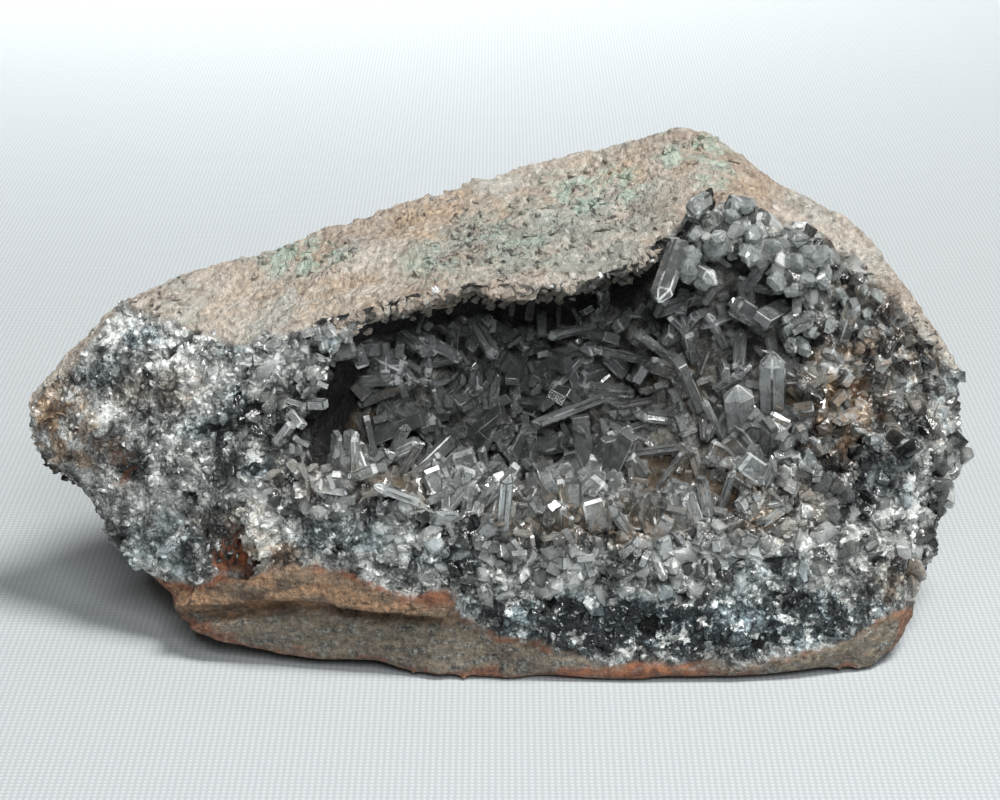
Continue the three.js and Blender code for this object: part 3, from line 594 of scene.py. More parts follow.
    colour = s.mix(s.attribute("rind"), wall["Color"], rind)
    colour = s.mix(s.attribute("bed"), colour, bed)
    colour = s.mix(s.attribute("hollow"), colour, shaded_lining)
    # painted shade: the pockets and holes go nearly black
    colour = s.mix(s.attribute("shaded_pocket"), colour, (0.014, 0.014, 0.013, 1))
    # painted shade: the groove between the beds goes nearly black
    colour = s.mix(s.times(s.attribute("shaded_groove"), 0.8), colour, (0.02, 0.015, 0.011, 1))
    rusty = s.times(s.attribute("rust"), s.ramp(blotch, 0.36, 0.52))
    rust = s.mix(s.ramp(s.noise(where, 500.0, 3.0), 0.4, 0.6), (0.14, 0.04, 0.016, 1), (0.36, 0.13, 0.055, 1))
    colour = s.mix(s.times(rusty, 0.9), colour, rust)

    soft = s.math("MAXIMUM", s.attribute("rind"), s.attribute("bed"))
    relief = s.times(s.noise(drawn_back, 640.0, 5.0, 0.7), s.math("ADD", 1.2, s.times(soft, 0.5)))
    rough = s.math("SUBTRACT", 0.62, s.times(wall["Gloss"], 0.38))
    s.fill(surface, {
        "Base Color": colour,
        "Roughness": s.math("ADD", rough, s.times(soft, 0.3), clamp=True),
        "IOR": ROCK_IOR,
        "Normal": s.bump(1.0, 0.0011, relief),
    })
    return material


def grain_material(name, smooth, clear=0.0, calm=0.0):
    """Grains of massive celestine. Each has a tone of its own, and takes the tint of the zone it sits in."""
    material, s, surface, where = new_material(name)
    mass = group_named("massive celestine", mass_group)
    zones = masks(s, "Tone", "Dark", "Pale", "Brown")
    grains = s.group(mass, {"Vector": where, "Calm": calm, **zones})
    s.fill(surface, {
        "Base Color": grains["Color"],
        "Roughness": s.math("SUBTRACT", smooth, s.times(grains["Gloss"], smooth * 0.6)),
        "IOR": CELESTINE_IOR,
        "Transmission Weight": clear,
        "Normal": s.bump(0.6, 0.0004, grains["Height"]),
    })
    return material


def edge_material():
    """The worn edges of clear crystals, a little frosted, and whitened in veils as a painted highlight."""
    name = "worn crystal edges with painted highlight"
    if name in bpy.data.materials:
        return bpy.data.materials[name]
    material, s, surface, where = new_material(name)
    veils = s.math("ADD", s.noise(where, 170.0, 2.0), s.times(s.noise(where, 900.0, 3.0, 0.7), 0.5))
    s.fill(surface, {
        # partly frosted wear, partly painted highlight: the edges go nearly white in veils
        "Base Color": s.mix(s.ramp(veils, 0.70, 0.90), (0.10, 0.11, 0.105, 1), (0.90, 0.93, 0.92, 1)),
        "Roughness": 0.24,
        "IOR": CELESTINE_IOR,
        "Transmission Weight": 0.45,
    })
    return material


def clear_material(name, tint, transmission, roughness, smoky=0.45):
    """Clear celestine: striped along its length by growth, with faint veils inside. Each crystal has a tone
    of its own, the darkest as smoky as that share of the tint."""
    material, s, surface, where = new_material(name)
    own = s.attribute("own_place", "Vector")
    stripes = s.noise(s.stretched(own, (9.0, 9.0, 0.4)), 1.0, 3.0, 0.6)
    veils = s.noise(where, 420.0, 5.0, 0.65)
    flaws = s.noise(s.stretched(own, (2.5, 2.5, 3.5)), 1.0, 4.0, 0.7)
    shade = tuple(smoky * part for part in tint[:3]) + (1,)
    # partly the paler, milkier crystals there, partly painted light: in the pale patches the crystals are
    # lifted in tone and whitened where the roof shades them
    tone = s.math("MAXIMUM", s.attribute("tone"), s.times(s.attribute("pale"), 0.85))
    colour = s.mix(s.ramp(tone, 0.2, 1.0), shade, tuple(tint))
    colour = s.mix(s.ramp(flaws, 0.36, 0.56, 0.5, 0.0), colour, (0.10, 0.105, 0.10, 1))
    colour = s.mix(s.ramp(veils, 0.52, 0.66, 0.0, 0.4), colour, (1, 1, 1, 1))
    colour = s.mix(s.times(s.attribute("pale"), 0.55), colour, (0.93, 0.96, 0.94, 1))
    stain = s.times(s.attribute("brown"), s.ramp(s.noise(where, 200.0, 3.0), 0.4, 0.55, 0.0, 0.8))
    stained = s.mix(1.0, colour, (0.75, 0.52, 0.33, 1), "MULTIPLY")
    s.fill(surface, {
        "Base Color": s.mix(stain, colour, stained),
        "Roughness": s.ramp(veils, 0.50, 0.70, roughness, roughness * 4),
        "IOR": CELESTINE_IOR,
        "Transmission Weight": transmission,
        "Normal": s.bump(0.10, 0.0001, stripes),
    })
    return material


# Shapes

def applied():
    """The object that was just added, with its place, turn and size given to its mesh."""
    bpy.ops.object.transform_apply(location=True, rotation=True, scale=True)
    return bpy.context.active_object


def mark_crystal(mesh, size, tone):
    """Keeps on a crystal's mesh its own places, as shares of its size, its tone, and its worn faces."""
    places = points_of(mesh) / size
    mesh.attributes.new("own_place", "FLOAT_VECTOR", "POINT").data.foreach_set("vector", places.ravel())
    keep_attribute(mesh, "tone", np.full(len(places), tone))
    worn_faces = [float(polygon.material_index) for polygon in mesh.polygons]
    mesh.attributes.new("edge", "FLOAT", "FACE").data.foreach_set("value", worn_faces)
    mesh.polygons.foreach_set("material_index", [0] * len(worn_faces))
    mesh.materials.clear()


def model_crystal(length, width, thick, tip, sides, style, worn, tone=1.0):
    """One crystal along +Z from the origin, in metres: a flattened prism closed by sloping faces that take up
    the length of its tip, its edges worn by that share of its thickness."""
    deselect()
    shoulder = length - tip
    bpy.ops.mesh.primitive_cylinder_add(
        vertices=sides, radius=0.5, depth=shoulder, location=(0, 0, shoulder / 2),
        rotation=(0, 0, 0 if sides == 6 else math.pi / 4))
    piece = applied()
    spread = 1.0 if sides == 6 else 1.414
    edit_all()
    bpy.ops.transform.resize(value=(width * spread, thick * spread, 1), center_override=(0, 0, 0))
    bpy.ops.mesh.select_all(action="DESELECT")
    shape = bmesh.from_edit_mesh(piece.data)
    for face in shape.faces:
        face.select_set(face.calc_center_median().z > shoulder * 0.9)
    bmesh.update_edit_mesh(piece.data)
    bpy.ops.mesh.extrude_region_move(TRANSFORM_OT_translate={"value": (0, 0, length - shoulder)})
    taper = {"chisel": (0.12, 0.4, 1), "point": (0.12, 0.12, 1), "slant": (0.25, 0.3, 1)}[style]
    bpy.ops.transform.resize(value=taper, center_override=(0, 0, length))
    if style == "slant":
        bpy.ops.transform.translate(value=(width * 0.2, thick * 0.35, -0.3 * tip))
    bpy.ops.mesh.select_all(action="SELECT")
    bpy.ops.mesh.normals_make_consistent(inside=False)
    bpy.ops.object.mode_set(mode="OBJECT")
    piece.data.materials.append(None)
    piece.data.materials.append(None)
    bevel = piece.modifiers.new("worn edges", "BEVEL")
    bevel.width = worn * thick
    bevel.segments = 1
    bevel.limit_method = "ANGLE"
    bevel.angle_limit = math.radians(20)
    bevel.material = 1
    apply_modifiers(piece)
    mark_crystal(piece.data, (width, thick, length), tone)
    return piece


def model_lump(name, seed):
    """One many-faced grain about a metre across, sunk by half in what it sits on."""
    deselect()
    bpy.ops.mesh.primitive_ico_sphere_add(subdivisions=1, radius=0.5, location=(0, 0, 0.05))
    piece = applied()
    piece.name = name
    edit_all()
    bpy.ops.transform.vertex_random(offset=0.22, uniform=1.0, normal=0.0, seed=seed)
    bpy.ops.object.mode_set(mode="OBJECT")
    return piece


def model_block(name, slant):
    """One blocky crystal about a metre across: a leaning box with cut edges, a third of it sunk."""
    deselect()
    bpy.ops.mesh.primitive_cube_add(size=0.9, location=(0, 0, 0.2))
    piece = applied()
    piece.name = name
    bpy.ops.object.mode_set(mode="EDIT")
    bpy.ops.mesh.select_all(action="DESELECT")
    shape = bmesh.from_edit_mesh(piece.data)
    for face in shape.faces:
        face.select_set(face.normal.z > 0.9)
    bmesh.update_edit_mesh(piece.data)
    bpy.ops.transform.resize(value=(0.85, 0.6, 1), center_override=(0, 0, 0.65))
    bpy.ops.transform.rotate(value=slant, orient_axis="Y", center_override=(0, 0, 0.65))
    bpy.ops.mesh.select_all(action="SELECT")
    bpy.ops.mesh.bevel(offset=0.09, segments=1, affect="EDGES")
    bpy.ops.object.mode_set(mode="OBJECT")
    return piece


def model_chunk(length, width, thick, seed):
    """One uneven lump of clear celestine along +Z from the origin, in metres."""
    deselect()
    bpy.ops.mesh.primitive_ico_sphere_add(subdivisions=2, radius=0.5, location=(0, 0, 0.5))
    piece = applied()
    edit_all()
    bpy.ops.transform.vertex_random(offset=0.075, uniform=1.0, normal=0.0, seed=seed)
    bpy.ops.transform.resize(value=(width, thick, length), center_override=(0, 0, 0))
    bpy.ops.object.mode_set(mode="OBJECT")
    mark_crystal(piece.data, (width, thick, length), 1.0)
    return piece


def scatter(surface, grain, name, zone, spacing, low, high, tilt, seed):
    """Copies of a grain strewn over a zone of the surface, joined in one mesh. low and high are the least and
    greatest width, thickness and length in millimetres."""
    piece = own_copy(surface, name)
    low, high = ([part * MM for part in size] for size in (low, high))
    tree = bpy.data.node_groups.new(name, "GeometryNodeTree")
    s = Shading(tree)
    tree.interface.new_socket("Surface", in_out="INPUT", socket_type="NodeSocketGeometry")
    tree.interface.new_socket("Grains", in_out="OUTPUT", socket_type="NodeSocketGeometry")
    given, out = tree.nodes.new("NodeGroupInput"), tree.nodes.new("NodeGroupOutput")
    share = s.node("GeometryNodeInputNamedAttribute", {"Name": zone}, data_type="FLOAT").outputs["Attribute"]
    spread = s.node("GeometryNodeDistributePointsOnFaces", distribute_method="POISSON")
    s.fill(spread, {
        "Mesh": given.outputs[0], "Distance Min": spacing, "Density Max": CROWDED, "Density Factor": share,
        "Seed": seed,
    })
    size = s.node("FunctionNodeRandomValue", data_type="FLOAT_VECTOR")
    s.fill(size, {0: low, 1: high, "Seed": seed + 1})
    lean = s.node("FunctionNodeRandomValue", data_type="FLOAT_VECTOR")
    s.fill(lean, {0: (-tilt, -tilt, 0), 1: (tilt, tilt, 2 * math.pi), "Seed": seed + 2})
    leant = s.node("FunctionNodeEulerToRotation", {"Euler": lean.outputs[0]})
    turned = s.node("FunctionNodeRotateRotation", rotation_space="LOCAL")
    s.fill(turned, {0: spread.outputs["Rotation"], 1: leant.outputs[0]})
    shape = s.node("GeometryNodeObjectInfo", {"Object": grain, "As Instance": True})
    laid = s.node("GeometryNodeInstanceOnPoints", {
        "Points": spread.outputs["Points"], "Instance": shape.outputs["Geometry"],
        "Rotation": turned.outputs[0], "Scale": size.outputs[0],
    })
    tone = s.node("FunctionNodeRandomValue", {"Seed": seed + 3}, data_type="FLOAT")
    kept = s.node("GeometryNodeStoreNamedAttribute", {"Name": "tone"}, data_type="FLOAT", domain="INSTANCE")
    s.fill(kept, {"Geometry": laid.outputs[0], "Value": tone.outputs[1]})
    real = s.node("GeometryNodeRealizeInstances", {"Geometry": kept.outputs[0]})
    s.feed(out.inputs[0], real.outputs[0])
    modifier = piece.modifiers.new("strewn", "NODES")
    modifier.node_group = tree
    apply_modifiers(piece)
    piece.vertex_groups.clear()
    return piece


def join(pieces, name):
    select(*pieces)
    bpy.ops.object.join()
    joined = bpy.context.active_object
    joined.name = joined.data.name = name
    return joined


# Zones

def front_depth(u, w):
    """How far forward the unhollowed front comes at u, w."""
    lip, lip_depth = np.interp(u, LIP[:, 0], LIP[:, 1]), np.interp(u, LIP[:, 0], LIP[:, 2])
    low, low_depth = np.interp(u, FOOT[:, 0], FOOT[:, 1]), np.interp(u, FOOT[:, 0], FOOT[:, 2])
    drop = np.clip((lip - w) / np.maximum(lip - low, 1), 0, 1)
    return lip_depth + (low_depth - lip_depth) * drop + 4.5 * np.sin(math.pi * drop)


def patch_weight(u, w, patches):
    weight = np.zeros_like(u)
    for right, up, half_width, half_height, strength in patches:
        distance = np.hypot((u - right) / half_width, (w - up) / half_height)
        distance = distance + 0.28 * wobble(u, w, 2.6, right) + 0.18 * wobble(u, w, 1.1, up)
        weight = np.maximum(weight, strength * (1 - smooth_step(distance, 0.55, 1.25)))
    return weight


def clear_of_chosen(u, w):
    """1 away from the chosen crystals and 0 right behind them, so that nothing small hides them."""
    nearest = np.full_like(u, 99.0)
    for tip_u, tip_w, foot_u, foot_w, width, _, _ in CHOSEN_CRYSTALS:
        along_u, along_w = tip_u - foot_u, tip_w - foot_w
        share = ((u - foot_u) * along_u + (w - foot_w) * along_w) / (along_u ** 2 + along_w ** 2)
        share = np.clip(share, 0.1, 1)
        gap = np.hypot(u - foot_u - share * along_u, w - foot_w - share * along_w) - 0.5 * width
        nearest = np.minimum(nearest, gap)
    return smooth_step(nearest, 0.4, 2.4)


def clearer_left(u, w):
    """The part of the wall left of the hollow that is made of larger, clearer grains."""
    return smooth_step(12 - np.hypot((u + 42) / 1.3, w - 3), 0, 4)


def from_side_pocket(u, w, half_width, half_height):
    """How far a place is from the middle of the left end of the hollow, painted dark as shade: 1 at the given
    reach.
    """
    across = u - SIDE_POCKET[0] - SIDE_POCKET_LEAN * (w - SIDE_POCKET[1] + 1)
    return np.hypot(across / half_width, (w - SIDE_POCKET[1]) / half_height)


def mark_zones(mesh):
    """Keeps on the mesh how much each point belongs to the rind, the wall, the host rock and the hollow, and
    to each of the patches of colour."""
    places, normals = points_of(mesh), normals_of(mesh)
    u, w, t = sighting(places)
    z = places[:, 2] / MM
    front = front_depth(u, w)
    lip = np.interp(u, LIP[:, 0], LIP[:, 1])
    over_mouth = smooth_step(u, -27, -22) * (1 - smooth_step(u, 22, 27))
    lip_edge = lip - 2.0 * over_mouth
    contact = np.interp(u, CONTACT[:, 0], CONTACT[:, 1])
    arm_u, arm_w = u - MOUTH_MIDDLE[0], w - MOUTH_MIDDLE[1]
    within = np.hypot(arm_u, arm_w) - mouth_reach(np.arctan2(arm_w, arm_u))
    behind = front - t
    ragged = wobble(u, w, 3.2, 1.0)
    uneven = lattice_noise(places / MM, 8.0, 12.0) + 0.5 * lattice_noise(places / MM, 3.0, 5.0) - 0.75
    under_roof = (w < lip + 1.5) | (normals[:, 2] < -0.1)
    hollow = smooth_step(behind, 1.5, 4.0) * (within < 7) * under_roof * (t > -14) * (z < 68)
    to_back = smooth_step(behind + 1.2 * ragged + 7 * uneven, 12, 16) * (1 - hollow)
    right_strip = smooth_step(u, 67, 75) * smooth_step(behind, 5, 9)
    over_lip = smooth_step(w + 0.9 * ragged - lip_edge, -0.6, 0.9)
    rind = np.maximum(np.maximum(over_lip, to_back), right_strip) * (1 - hollow)
    bed = smooth_step(contact - w + 0.5 * ragged, -0.5, 0.6) * (1 - over_lip)
    bed = np.maximum(bed, to_back * smooth_step(14 + 14 * uneven - z, 0, 4)) * (1 - hollow)
    bed = np.maximum(bed, smooth_step(-normals[:, 2], 0.7, 0.9) * (z < 12))
    rind = rind * (1 - bed)
    wall = np.clip(1 - rind - bed - hollow, 0, 1)
    low_side = 1 - smooth_step(w - 0.35 * np.abs(u - 8), 2, 9)
    apron = wall * (1 - smooth_step(within + 1.5 * ragged, 3, 7)) * low_side
    blocky = smooth_step(u + 2 * ragged, 25, 31) * (1 - smooth_step(u, 58, 66)) * smooth_step(w, 6, 12)
    blocky = np.maximum(blocky, 0.45 * smooth_step(u, 52, 58) * smooth_step(w, -34, -26))
    line = np.exp(-((contact - w - 0.3 + 0.5 * ragged) / 0.42) ** 2) * (behind < 9)
    line = line * smooth_step(wobble(u, w, 7.0, 5.0), -0.6, 0.2)
    near_mouth = smooth_step(within, 0, 3) * (1 - smooth_step(within, 10, 16))
    # pockets: dents in the wall, painted nearly black as their shade
    caves = lattice_noise(places / MM, 4.2, 3.0) + 0.35 * lattice_noise(places / MM, 1.9, 8.0)
    shaded_pocket = smooth_step(caves + 0.12 * blocky + 0.05 * near_mouth, 0.97, 1.08) * wall * smooth_step(z, 3, 6)
    side_pocket = 1 - smooth_step(from_side_pocket(u, w, 4.4, 11) + 0.15 * ragged, 0.8, 1.15)
    # where shade is painted in the hollow: the band under the lip and the left end
    near_lip = smooth_step(u, -34, -28) * (1 - smooth_step(u, 27, 31)) * smooth_step(w - lip, -5.5, -3.5)
    near_lip = np.maximum(near_lip, side_pocket * (behind > 1))
    shaded_hole = patch_weight(u, w, PATCHES["shaded_hole"]) * (behind < 12) * (1 - over_lip)
    shaded_pocket = np.maximum(shaded_pocket, shaded_hole)
    groove_line = np.interp(u, GROOVE[:, 0], GROOVE[:, 1])
    # the band along the groove where shade is painted
    shaded_groove = np.exp(-((w - groove_line + 0.4 * ragged) / 0.45) ** 2)
    shaded_groove = 0.6 * shaded_groove * bed * (behind < 10) * smooth_step(u, -54, -48) * (1 - smooth_step(u, -16, -8))
    large = wall * smooth_step(within, -2, 0) * (1 - smooth_step(within + 3 * ragged, 9, 13)) * (1 - blocky)
    crumbly = np.exp(-((w - lip + 0.2) / 1.3) ** 2) * smooth_step(u, -34, -28) * (1 - smooth_step(u, 26, 31))
    grainy = wall * smooth_step(w - contact, 0.2, 1.6) * (1 - 0.85 * shaded_pocket) * (1 - 0.6 * blocky)
    values = {
        "rind": rind, "wall": wall, "bed": bed, "hollow": hollow, "shaded_pocket": shaded_pocket, "shaded_groove": shaded_groove,
        "grey_bed": bed * smooth_step(groove_line - w, -0.5, 1.5),
        "rust_foot": bed * smooth_step(np.interp(u, FOOT[:, 0], FOOT[:, 1]) + 2.4 + ragged - w, 0, 1),
        "painted_depth_shade": near_lip,
        "crumbs": np.maximum(crumbly, rind * patch_weight(u, w, PATCHES["sugary"] + PATCHES["mint"]) * 0.25),
        "lumps": np.maximum(grainy * (0.55 + 0.45 * smooth_step(u, -70, -55)), 0.2 * crumbly),
        "large": np.maximum(large, 0.5 * clearer_left(u, w) * wall) * (1 - shaded_hole),
        "blocky": blocky * wall * (1 - shaded_pocket),
        "druse": hollow * (1 - near_lip) * (1 - shaded_hole) * clear_of_chosen(u, w),
        "apron": apron * (1 - shaded_hole) * clear_of_chosen(u, w),
        "debris": np.maximum(hollow * (1 - near_lip), 0.6 * apron) * (1 - shaded_hole),
    }
    seen_side = 1 - smooth_step(behind, 9, 15) * (1 - over_lip * (normals[:, 1] < 0.3))
    seen_side = np.maximum(seen_side, hollow)
    for name, patches in PATCHES.items():
        values[name] = patch_weight(u, w, patches) * seen_side
    values["mint"] = values["mint"] * rind
    values["pale"] = np.maximum(values["pale"], crumbly * 0.9)
    values["rust"] = np.maximum(values["rust"], line)
    for name, weights in values.items():
        keep_attribute(mesh, name, np.clip(weights, 0, 1))
    return values


def stretch_lower_bed(mesh):
    """Draws the lowest bed of the host rock out to the left, under the ledge, as far as its outline goes."""
    places = points_of(mesh)
    u, w, _ = sighting(places)
    below = smooth_step(np.interp(u, GROOVE[:, 0], GROOVE[:, 1]) + 2.2 - w, 0, 2.4)
    limit = np.interp(-w, -BED_END[:, 1], BED_END[:, 0])
    moved = np.maximum(u - 8.0 * below * smooth_step(-u, 32, 46), limit)
    places[:, 0] += np.where(u > limit, moved - u, 0) * MM
    mesh.vertices.foreach_set("co", places.ravel())
    mesh.update()


def displace(piece, name, kind, size, strength, group, middle=0.5, **settings):
    """Waves the surface with one of the cloudy or cellular patterns, where the vertex group says."""
    texture = bpy.data.textures.new(name, kind)
    texture.noise_scale = size
    for key, value in settings.items():
        setattr(texture, key, value)
    modifier = piece.modifiers.new(name, "DISPLACE")
    modifier.texture = texture
    modifier.texture_coords = "LOCAL"
    modifier.strength = strength
    modifier.mid_level = middle
    modifier.vertex_group = group


# The add-on

def colour_setting(name, description, red, green, blue):
    return FloatVectorProperty(
        name=name, description=description, default=(red, green, blue, 1), size=4, min=0, max=1,
        subtype="COLOR")


def length_setting(name, description, value, least, most):
    """A length given in millimetres."""
    return FloatProperty(
        name=name, description=description, default=value * MM, min=least * MM, max=most * MM, unit="LENGTH",
        precision=5)


class SpecimenLooks(bpy.types.PropertyGroup):
    """The colours of the rock and its crystals."""

    rind_tan: colour_setting("Rind, tan", "The darker tan of the rind", 0.43, 0.35, 0.28)
    rind_buff: colour_setting("Rind, buff", "The paler buff of the rind", 0.56, 0.51, 0.44)
    rind_grey: colour_setting("Rind, grey", "The weathered grey of the rind", 0.47, 0.475, 0.43)
    rind_orange: colour_setting("Rind, orange", "The orange tan of the middle of the rind", 0.54, 0.40, 0.27)
    mint: colour_setting("Mint", "The pale green bloom on the rind", 0.42, 0.60, 0.50)
    bed_light: colour_setting("Host rock, light", "The paler beds of the host rock", 0.27, 0.195, 0.13)
    bed_dark: colour_setting("Host rock, dark", "The darker beds of the host rock", 0.095, 0.065, 0.042)
    clear_tint: colour_setting("Clear crystal", "What the clear crystals let through", 0.90, 0.94, 0.94)


class SpecimenSizes(bpy.types.PropertyGroup):
    """The sizes of the fine surface and of what is strewn on it."""

    voxel: length_setting("Surface detail", "Mesh size of the rock's fine surface", 0.8, 0.5, 3)
    wall_relief: length_setting("Wall relief", "How far the lumps of the wall stand out", 1.3, 0, 3)
    lump_spacing: length_setting("Lump spacing", "Least distance between grains of the wall", 0.95, 0.6, 5)
    druse_spacing: length_setting("Druse spacing", "Least distance between two small crystals", 1.9, 1, 8)
    crystal_count: IntProperty(
        name="Scattered crystals", description="Crystals grown in the hollow besides the chosen ones",
        default=46, min=0, max=400)


def looks():
    return bpy.context.scene.celestine_looks


def sizes():
    return bpy.context.scene.celestine_sizes


class CELESTINE_OT_stage(bpy.types.Operator):
    """Lays the pale floor, the lights and the camera"""

    bl_idname = "celestine.stage"
    bl_label = "Stage"

    def execute(self, context):
        deselect()
        bpy.ops.mesh.primitive_plane_add(size=6.0, location=(0, -1.25, -0.0002))
        floor = bpy.context.active_object
        floor.name = "floor"
        bpy.ops.object.mode_set(mode="EDIT")
        bpy.ops.mesh.select_all(action="DESELECT")
        shape = bmesh.from_edit_mesh(floor.data)
        for edge in shape.edges:
            edge.select_set(all(vertex.co.y > 1.1 for vertex in edge.verts))
        bmesh.update_edit_mesh(floor.data)
        for rise, back in ((0.08, 0.22), (0.2, 0.14), (0.6, 0.06), (1.2, 0.0)):
            bpy.ops.mesh.extrude_region_move(TRANSFORM_OT_translate={"value": (0, back, rise)})
        bpy.ops.object.mode_set(mode="OBJECT")
        bpy.ops.object.shade_smooth()
        bpy.ops.object.transform_apply(location=True, rotation=True, scale=True)
        material, s, surface, where = new_material("pale cloth")
        threads = []
        for way, scale in (("X", 314.0), ("Y", 230.0)):
            values = {"Vector": where, "Scale": scale, "Distortion": 0.6}
            threads.append(s.node("ShaderNodeTexWave", values, bands_direction=way).outputs["Fac"])
        woven = s.times(*threads)
        s.fill(surface, {
            "Base Color": s.mix(woven, (0.42, 0.45, 0.465, 1), (0.57, 0.60, 0.615, 1)),
            "Roughness": 0.9,
            "Normal": s.bump(0.15, 0.0002, woven),
        })
        floor.data.materials.append(material)

        def lamp(name, place, aim, width, power, colour=(1, 1, 1), spread=180):
            deselect()
            bpy.ops.object.light_add(type="AREA", location=place)
            light = bpy.context.active_object
            light.name = name
            light.data.shape = "DISK"
            light.data.size = width
            light.data.energy = power
            light.data.color = colour
            light.data.spread = math.radians(spread)
            light.rotation_euler = (Vector(aim) - Vector(place)).to_track_quat("-Z", "Y").to_euler()

        middle, cool = (0.0, 0.0, 0.03), (0.97, 0.985, 1.0)
        lamp("softbox", (0.40, -0.38, 1.10), middle, 0.50, 17.3, (1.0, 0.99, 0.975))
        lamp("fill", (0.12, -1.15, 0.68), middle, 0.45, 7.7, cool)
        glints = ((-0.30, -0.80, 0.75), (0.20, -0.85, 0.65), (0.55, -0.70, 0.60))
        for number, place in enumerate(glints, 1):
            lamp(f"glint {number}", place, (0.01, -0.02, 0.035), 0.06, 0.7)
        lamp("floor lamp", (0.0, 0.85, 1.1), (-0.15, 0.85, 0.0), 0.6, 4.5, cool, 70)
        world = context.scene.world or bpy.data.worlds.new("World")
        context.scene.world = world
        world.use_nodes = True
        sky = next(node for node in world.node_tree.nodes if node.type == "BACKGROUND")
        sky.inputs["Color"].default_value = (0.86, 0.90, 0.96, 1)
        sky.inputs["Strength"].default_value = 0.035

        deselect()
        bpy.ops.object.camera_add(location=EYE * MM, rotation=(math.pi / 2 - VIEW_PITCH, 0, 0))
        camera = bpy.context.active_object
        camera.name = "camera"
        camera.data.lens = LENS
        camera.data.sensor_width = 36.0
        camera.data.clip_start = 0.05
        context.scene.camera = camera
        context.scene.view_settings.view_transform = "Standard"
        context.scene.view_settings.look = "None"
        return {"FINISHED"}


class CELESTINE_OT_rock(bpy.types.Operator):
    """Models the rock's fine surface: rind, granular wall, host rock and hollow"""

    bl_idname = "celestine.rock"
    bl_label = "Geode rock"

    def execute(self, context):
        rock = merged_copy("geode_rock", "rock_surface")
        remesh = rock.modifiers.new("remesh", "REMESH")
        remesh.mode = "VOXEL"
        remesh.voxel_size = sizes().voxel
        apply_modifiers(rock)
        stretch_lower_bed(rock.data)
        values = mark_zones(rock.data)
        for zone in ("wall", "rind", "bed", "blocky", "shaded_pocket"):
            vertex_group(rock, zone, values[zone])
        relief = sizes().wall_relief
        vertex_group(rock, "off the floor", smooth_step(points_of(rock.data)[:, 2], 0.4 * MM, 3 * MM))
        displace(rock, "swells", "CLOUDS", 7 * MM, 1.6 * MM, "off the floor", noise_depth=3)
        displace(rock, "wall lumps", "VORONOI", 3.6 * MM, -relief, "wall", 0.4, noise_intensity=1.1)
        displace(rock, "wall grit", "VORONOI", 1.8 * MM, -0.5 * relief, "wall", 0.4)
        displace(rock, "blocks", "VORONOI", 7 * MM, -1.4 * relief, "blocky", 0.4, distance_metric="MANHATTAN")
        displace(
            rock, "rind crust", "CLOUDS", 1.9 * MM, 0.9 * MM, "rind", noise_depth=2, noise_type="HARD_NOISE")
        displace(rock, "bed crust", "CLOUDS", 2.4 * MM, 1.1 * MM, "bed", noise_depth=3)
        displace(
            rock, "bed grit", "CLOUDS", 1.5 * MM, 0.5 * MM, "bed", noise_depth=1, noise_type="HARD_NOISE")
        smooth = rock.modifiers.new("weathered beds", "SMOOTH")
        smooth.factor, smooth.iterations, smooth.vertex_group = 0.5, 5, "bed"
        vertex_group(rock, "foot", 1 - smooth_step(points_of(rock.data)[:, 2], 2 * MM, 6 * MM))
        worn = rock.modifiers.new("worn foot", "SMOOTH")
        worn.factor, worn.iterations, worn.vertex_group = 0.5, 24, "foot"
        pockets = rock.modifiers.new("pockets", "DISPLACE")
        pockets.strength, pockets.mid_level, pockets.vertex_group = -2.2 * MM, 0.0, "shaded_pocket"
        apply_modifiers(rock)
        places = points_of(rock.data)
        places[:, 2] = np.maximum(places[:, 2], 0.0)
        rock.data.vertices.foreach_set("co", places.ravel())
        rock.data.update()
        finish_piece(rock, rock_material(looks()), "geode_rock")
        return {"FINISHED"}


class CELESTINE_OT_wall_grains(bpy.types.Operator):
    """Strews the grains of massive celestine over the broken wall"""

    bl_idname = "celestine.wall_grains"
    bl_label = "Wall grains"

    def execute(self, context):
        surface = bpy.data.objects["rock_surface"]
        shapes = {
            "lump": model_lump("lump", 4),
            "chip": model_lump("chip", 9),
            "block": model_block("block", 0.3),
        }
        coarse = grain_material("celestine blocks", 0.22, 0.5, 0.7)
        finishes = {
            "wall_grains": grain_material("celestine grains", 0.42),
            "bright_chips": grain_material("bright celestine chips", 0.2),
            "coarse_lumps": coarse,
            "coarse_blocks": coarse,
            "large_grains": grain_material("large celestine grains", 0.25, 0.45, 0.75),
            "rind_crumbs": bpy.data.materials["geode rock"],
        }
        for name, shape, zone, apart, low, high, lean, seed in STREWN_GRAINS:
            spacing = sizes().lump_spacing * apart
            grains = scatter(surface, shapes[shape], name, zone, spacing, low, high, lean, seed)
            if name == "rind_crumbs":
                for kind in ("rind", "hollow", "painted_depth_shade", "shaded_pocket", "bed"):
                    share = np.full(len(grains.data.vertices), float(kind == "rind"))
                    keep_attribute(grains.data, kind, share)
            finish_piece(grains, finishes[name])
        for shape in shapes.values():
            bpy.data.objects.remove(shape)
        return {"FINISHED"}


